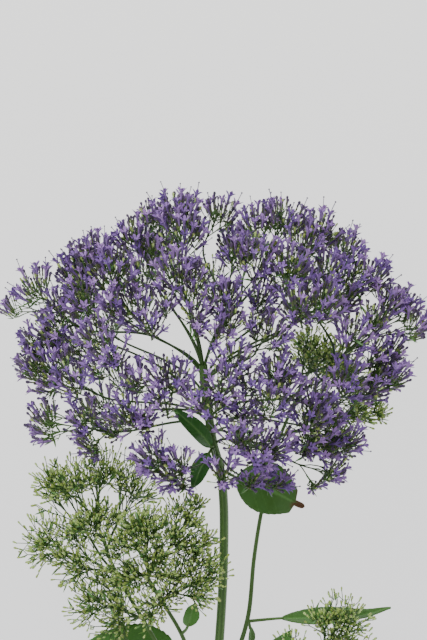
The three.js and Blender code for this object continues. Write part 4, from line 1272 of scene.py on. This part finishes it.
CUT_END = -2  # where the stem starts along Y
STEM_ROOT = 2.12  # radii of the stem
STEM_TOP = 1.9
STEM_STEPS = 90
RIB_DEPTH = 0.07  # share of the stem's radius
RIB_POINTS = 4  # round each rib


def rib_profile(ribs):
    """The closed outline of a ribbed stem, one millimetre in radius, with how high each point stands on
    its rib."""
    angles = around(ribs * RIB_POINTS)
    heights = [0.5 + 0.5 * math.cos(ribs * a) for a in angles]
    points = []
    for a, height in zip(angles, heights):
        radius = (1 - RIB_DEPTH + RIB_DEPTH * height) * MM
        points.append((radius * math.cos(a), radius * math.sin(a), 0))
    mesh = bpy.data.meshes.new("rib_profile")
    mesh.from_pydata(points, [(i, (i + 1) % len(points)) for i in range(len(points))], [])
    store(mesh, "rib", "FLOAT", heights)
    return linked("rib_profile", mesh)


def stem_twigs():
    """The stem from its cut end to the crown, and the branches that leave it."""
    twigs = Twigs()
    stem = stem_path()
    low = stem.share_at(CUT_END)
    line = [stem.at(low + (1 - low) * k / STEM_STEPS) for k in range(STEM_STEPS + 1)]
    for point in line:
        point.z = max(point.z, STEM_ROOT * 0.98)
    twigs.stalk(line, (STEM_ROOT, STEM_TOP), (0.0, 0.35))
    for path in branch_paths().values():
        points = [path.at(k / BRANCH_STEPS) for k in range(BRANCH_STEPS + 1)]
        twigs.stalk(points, (BRANCH_ROOT, BRANCH_END), (0.7, 1.0))
    return twigs


class THROATWORT_OT_stem(Operator):
    """Makes the ribbed stem and the branches that grow from it."""

    bl_idname = "throatwort.stem"
    bl_label = "Stem and branches"
    bl_options = {"REGISTER", "UNDO"}

    def execute(self, context):
        scene = context.scene
        profile = rib_profile(scene.throatwort_sizes.ribs)
        skin = material_of("Ribbed green stem", stem_material, scene.throatwort_colours)
        raw = twig_object("ribbed_stem", stem_twigs(), random.Random(SEED))
        piece = run_tree(raw, stem_tree(), {"Profile": profile, "Stem finish": skin})
        hand_over(piece, "stem")
        bpy.data.objects.remove(profile)
        return {"FINISHED"}


# Leaves

LENGTHWAYS = 64  # rows of a blade
HALFWAYS = 9  # columns from the rib to the edge
TOOTH_SPACING = 2.6
FOLD = 0.22  # how far the halves rise from the rib, as a share of their width
EDGE_WAVE = 0.3  # how far the edges wave
VEIN_DEPTH = 0.16
VEIN_SPACING = 5.0
VEIN_SLANT = 0.8  # how far a side vein runs on towards the tip, for each millimetre outwards
VEIN_HALF = 0.28
FINGER = 0.86  # share of a withered leaf where its dry, curled finger starts
FINGER_HALF = 1.3
CURL = 3.0  # how far a curled tip rises

# A look is the finish of a leaf, its base colour and roughness, and the depth of its teeth as a share of
# its half width
Look = namedtuple("Look", "finish colour roughness teeth")
LOOKS = {
    # The glossy look's colour is lifted lighter, a painted highlight for the gloss.
    "glossy": Look("Glossy crown leaf", "leaf_deep", 0.24, 0.02),
    "withered": Look("Broad soft leaf", "leaf", 0.5, 0.03),
    "satin": Look("Satin leaf", "leaf", 0.5, 0.06),
    # This look paints light into the colour: the leaf colour made lighter.
    "fresh": Look("Fresh side leaf", "leaf_fresh", 0.45, 0.04),
}
LEAF_STALK = 0.7  # radius


def eased(low, high, value):
    """0 below low, 1 above high and a smooth rise between them."""
    t = min(1, max(0, (value - low) / (high - low)))
    return t * t * (3 - 2 * t)


def blade_half(leaf, share):
    """Half the width of a blade: broad below the middle, drawn out to the tip."""
    half = max(0.22, leaf.width / 2 * math.sin(math.pi * min(1, share) ** 0.75) ** 0.85)
    if leaf.look != "withered" or share < FINGER - 0.03:
        return half
    finger = FINGER_HALF * math.sqrt(max(0.02, 1 - (max(0, share - FINGER) / (1 - FINGER)) ** 4))
    return half + (finger - half) * eased(FINGER - 0.03, FINGER, share)


def vein_strength(along, out, length):
    """How far a place on a blade is on a vein, from 0 to 1. Both distances are in millimetres."""
    middle = max(0, 1 - abs(out) / (0.45 + 0.35 * (1 - along / length)))
    run = along - abs(out) * VEIN_SLANT
    off = abs((run / VEIN_SPACING + 0.5) % 1 - 0.5) * VEIN_SPACING
    return max(middle, 0.4 * max(0, 1 - off / VEIN_HALF) * (run > 1))


def blade_rows(leaf):
    """The upper side of a blade, row by row, with how far each point is on a vein and how dry it is."""
    foot, tip = Vector(leaf.foot), Vector(leaf.tip)
    length = (tip - foot).length
    run = (tip - foot) / length
    across = run.cross(Vector(leaf.face)).normalized()
    face = across.cross(run).normalized()
    withered = leaf.look == "withered"
    for i in range(LENGTHWAYS + 1):
        share = i / LENGTHWAYS
        curl = CURL * eased(0.8 if withered else 0.7, 1.1, share)
        rib = foot.lerp(tip, share) + face * (leaf.bend * math.sin(math.pi * share) + curl)
        tooth = 1 - (share * length / TOOTH_SPACING) % 1
        for j in range(-HALFWAYS, HALFWAYS + 1):
            t = j / HALFWAYS
            out = t * blade_half(leaf, share) * (1 - LOOKS[leaf.look].teeth * tooth * abs(t) ** 6)
            vein = vein_strength(share * length, out, length)
            rise = FOLD * abs(out) + EDGE_WAVE * math.sin(share * 9 + t * 2) * t * t - VEIN_DEPTH * vein
            dry = eased(FINGER - 0.06, FINGER + 0.03, share + 0.03 * math.sin(5 * t)) if withered else 0.0
            yield rib + across * out + face * rise, vein, dry


def leaf_object(leaf, thickness):
    """A toothed blade with sunken veins, closed all round, and its values for the finish."""
    upper, veins, dry = zip(*blade_rows(leaf))
    face = Vector(leaf.face).normalized()
    points = [*upper, *(point - face * thickness for point in upper)]
    columns, below = 2 * HALFWAYS + 1, len(upper)
    faces = []
    for i in range(LENGTHWAYS):
        for j in range(columns - 1):
            a = i * columns + j
            faces.append((a, a + 1, a + 1 + columns, a + columns))
            faces.append((below + a, below + a + columns, below + a + 1 + columns, below + a + 1))
    last = LENGTHWAYS * columns
    border = [*range(columns - 1), *range(columns - 1, last, columns),
              *range(last + columns - 1, last, -1), *range(last, 0, -columns)]
    for a, b in zip(border, border[1:] + border[:1]):
        faces.append((b, a, below + a, below + b))
    made = object_of(leaf.name + "_blade", [p * MM for p in points], faces)
    store(made.data, "vein", "FLOAT", veins * 2)
    store(made.data, "dry", "FLOAT", dry * 2)
    made.data.polygons.foreach_set("use_smooth", [True] * len(made.data.polygons))
    return made


class THROATWORT_OT_leaves(Operator):
    """Makes the leaves with their teeth, veins and stalks."""

    bl_idname = "throatwort.leaves"
    bl_label = "Leaves"
    bl_options = {"REGISTER", "UNDO"}

    def execute(self, context):
        scene = context.scene
        colours = scene.throatwort_colours
        kit = Kit(scene)
        for leaf in LEAVES:
            look = LOOKS[leaf.look]
            base = getattr(colours, look.colour)
            skin = material_of(look.finish, leaf_material, look.finish, colours, base, look.roughness)
            blade = leaf_object(leaf, scene.throatwort_sizes.blade_thickness / MM)
            blade.data.materials.append(skin)
            stalk = kit.grow(leaf.name + "_stalk", leaf_stalk(leaf), random.Random(SEED))
            piece = joined(leaf.name + "_finished", [blade, stalk])
            hand_over(piece, leaf.name)
        kit.clear()
        return {"FINISHED"}


def leaf_stalk(leaf):
    """The stalk of a leaf, from its carrier to the foot of the blade."""
    twigs = Twigs()
    root, foot = Vector(leaf.root), Vector(leaf.foot)
    way = (Vector(leaf.tip) - foot).normalized()
    twigs.bow(root, (foot - root).normalized(), foot + way * 1.5, way,
              (LEAF_STALK * 1.1, LEAF_STALK * 0.8), (0.3, 0.1), 8)
    return twigs


def joined(name, objects):
    """Joins objects to one piece."""
    with bpy.context.temp_override(active_object=objects[0], object=objects[0],
                                   selected_editable_objects=objects, selected_objects=objects):
        bpy.ops.object.join()
    objects[0].name = name
    objects[0].data.name = name
    return objects[0]


# Stage

LOOKED_AT = Vector((3.6, 226.8, 45))  # what the middle of the picture shows
KEY_PLACE = Vector((-620, 900, 1150))
KEY_SIZE = 700
FLOOR_HALF = 6000
FILM_HEIGHT = 36


def add_camera(stage):
    """Looks straight down on the head, which fills the picture from edge to edge."""
    camera = bpy.data.cameras.new("camera")
    camera.sensor_fit = "VERTICAL"
    camera.sensor_height = FILM_HEIGHT
    camera.lens = FILM_HEIGHT * stage.camera_height / stage.view_height
    camera.clip_end = 100
    made = linked("camera", camera)
    made.location = LOOKED_AT * MM + UP * stage.camera_height
    bpy.context.scene.camera = made


def add_key_light(power):
    """A large square light beyond the head on its left, as from a softbox."""
    light = bpy.data.lights.new("key", "AREA")
    light.shape = "SQUARE"
    light.size = KEY_SIZE * MM
    light.energy = power
    made = linked("key", light)
    made.location = KEY_PLACE * MM
    made.rotation_euler = (LOOKED_AT - KEY_PLACE).to_track_quat("-Z", "Y").to_euler()


class THROATWORT_OT_stage(Operator):
    """Sets the pale floor, the soft studio light and the camera."""

    bl_idname = "throatwort.stage"
    bl_label = "Stage"
    bl_options = {"REGISTER", "UNDO"}

    def execute(self, context):
        stage = context.scene.throatwort_stage
        half = FLOOR_HALF * MM
        corners = [(-half, -half, 0), (half, -half, 0), (half, half, 0), (-half, half, 0)]
        floor = object_of("floor", corners, [(0, 1, 2, 3)])
        floor.data.materials.append(material_of("Matt studio paper", floor_material, stage))
        world = bpy.data.worlds.new("soft light all round")
        world.use_nodes = True
        background = world.node_tree.nodes["Background"]
        background.inputs["Color"].default_value = (1, 1, 1, 1)
        background.inputs["Strength"].default_value = stage.fill
        context.scene.world = world
        add_key_light(stage.key_power)
        add_camera(stage)
        return {"FINISHED"}


class THROATWORT_PT_panel(Panel):
    """Lists the steps that finish the stem."""

    bl_label = "Throatwort stem"
    bl_idname = "THROATWORT_PT_panel"
    bl_space_type = "VIEW_3D"
    bl_region_type = "UI"
    bl_category = "Throatwort"

    def draw(self, context):
        for group in (context.scene.throatwort_sizes, context.scene.throatwort_colours,
                      context.scene.throatwort_stage):
            box = self.layout.box()
            for name in group.__annotations__:
                box.prop(group, name)
        for operator in OPERATORS:
            self.layout.operator(operator.bl_idname)


OPERATORS = (THROATWORT_OT_stage, THROATWORT_OT_stem, THROATWORT_OT_sprays, THROATWORT_OT_shoots,
             THROATWORT_OT_leaves)
GROUPS = {"throatwort_sizes": ThroatwortSizes, "throatwort_colours": ThroatwortColours,
          "throatwort_stage": ThroatwortStage}
CLASSES = (*GROUPS.values(), *OPERATORS, THROATWORT_PT_panel)


def register():
    for cls in CLASSES:
        bpy.utils.register_class(cls)
    for name, group in GROUPS.items():
        setattr(bpy.types.Scene, name, PointerProperty(type=group))


def unregister():
    for name in GROUPS:
        delattr(bpy.types.Scene, name)
    for cls in reversed(CLASSES):
        bpy.utils.unregister_class(cls)


def main():
    register()
    bpy.ops.throatwort.stage()
    bpy.ops.throatwort.stem()
    bpy.ops.throatwort.sprays()
    bpy.ops.throatwort.shoots()
    bpy.ops.throatwort.leaves()


if __name__ == "__main__":
    main()
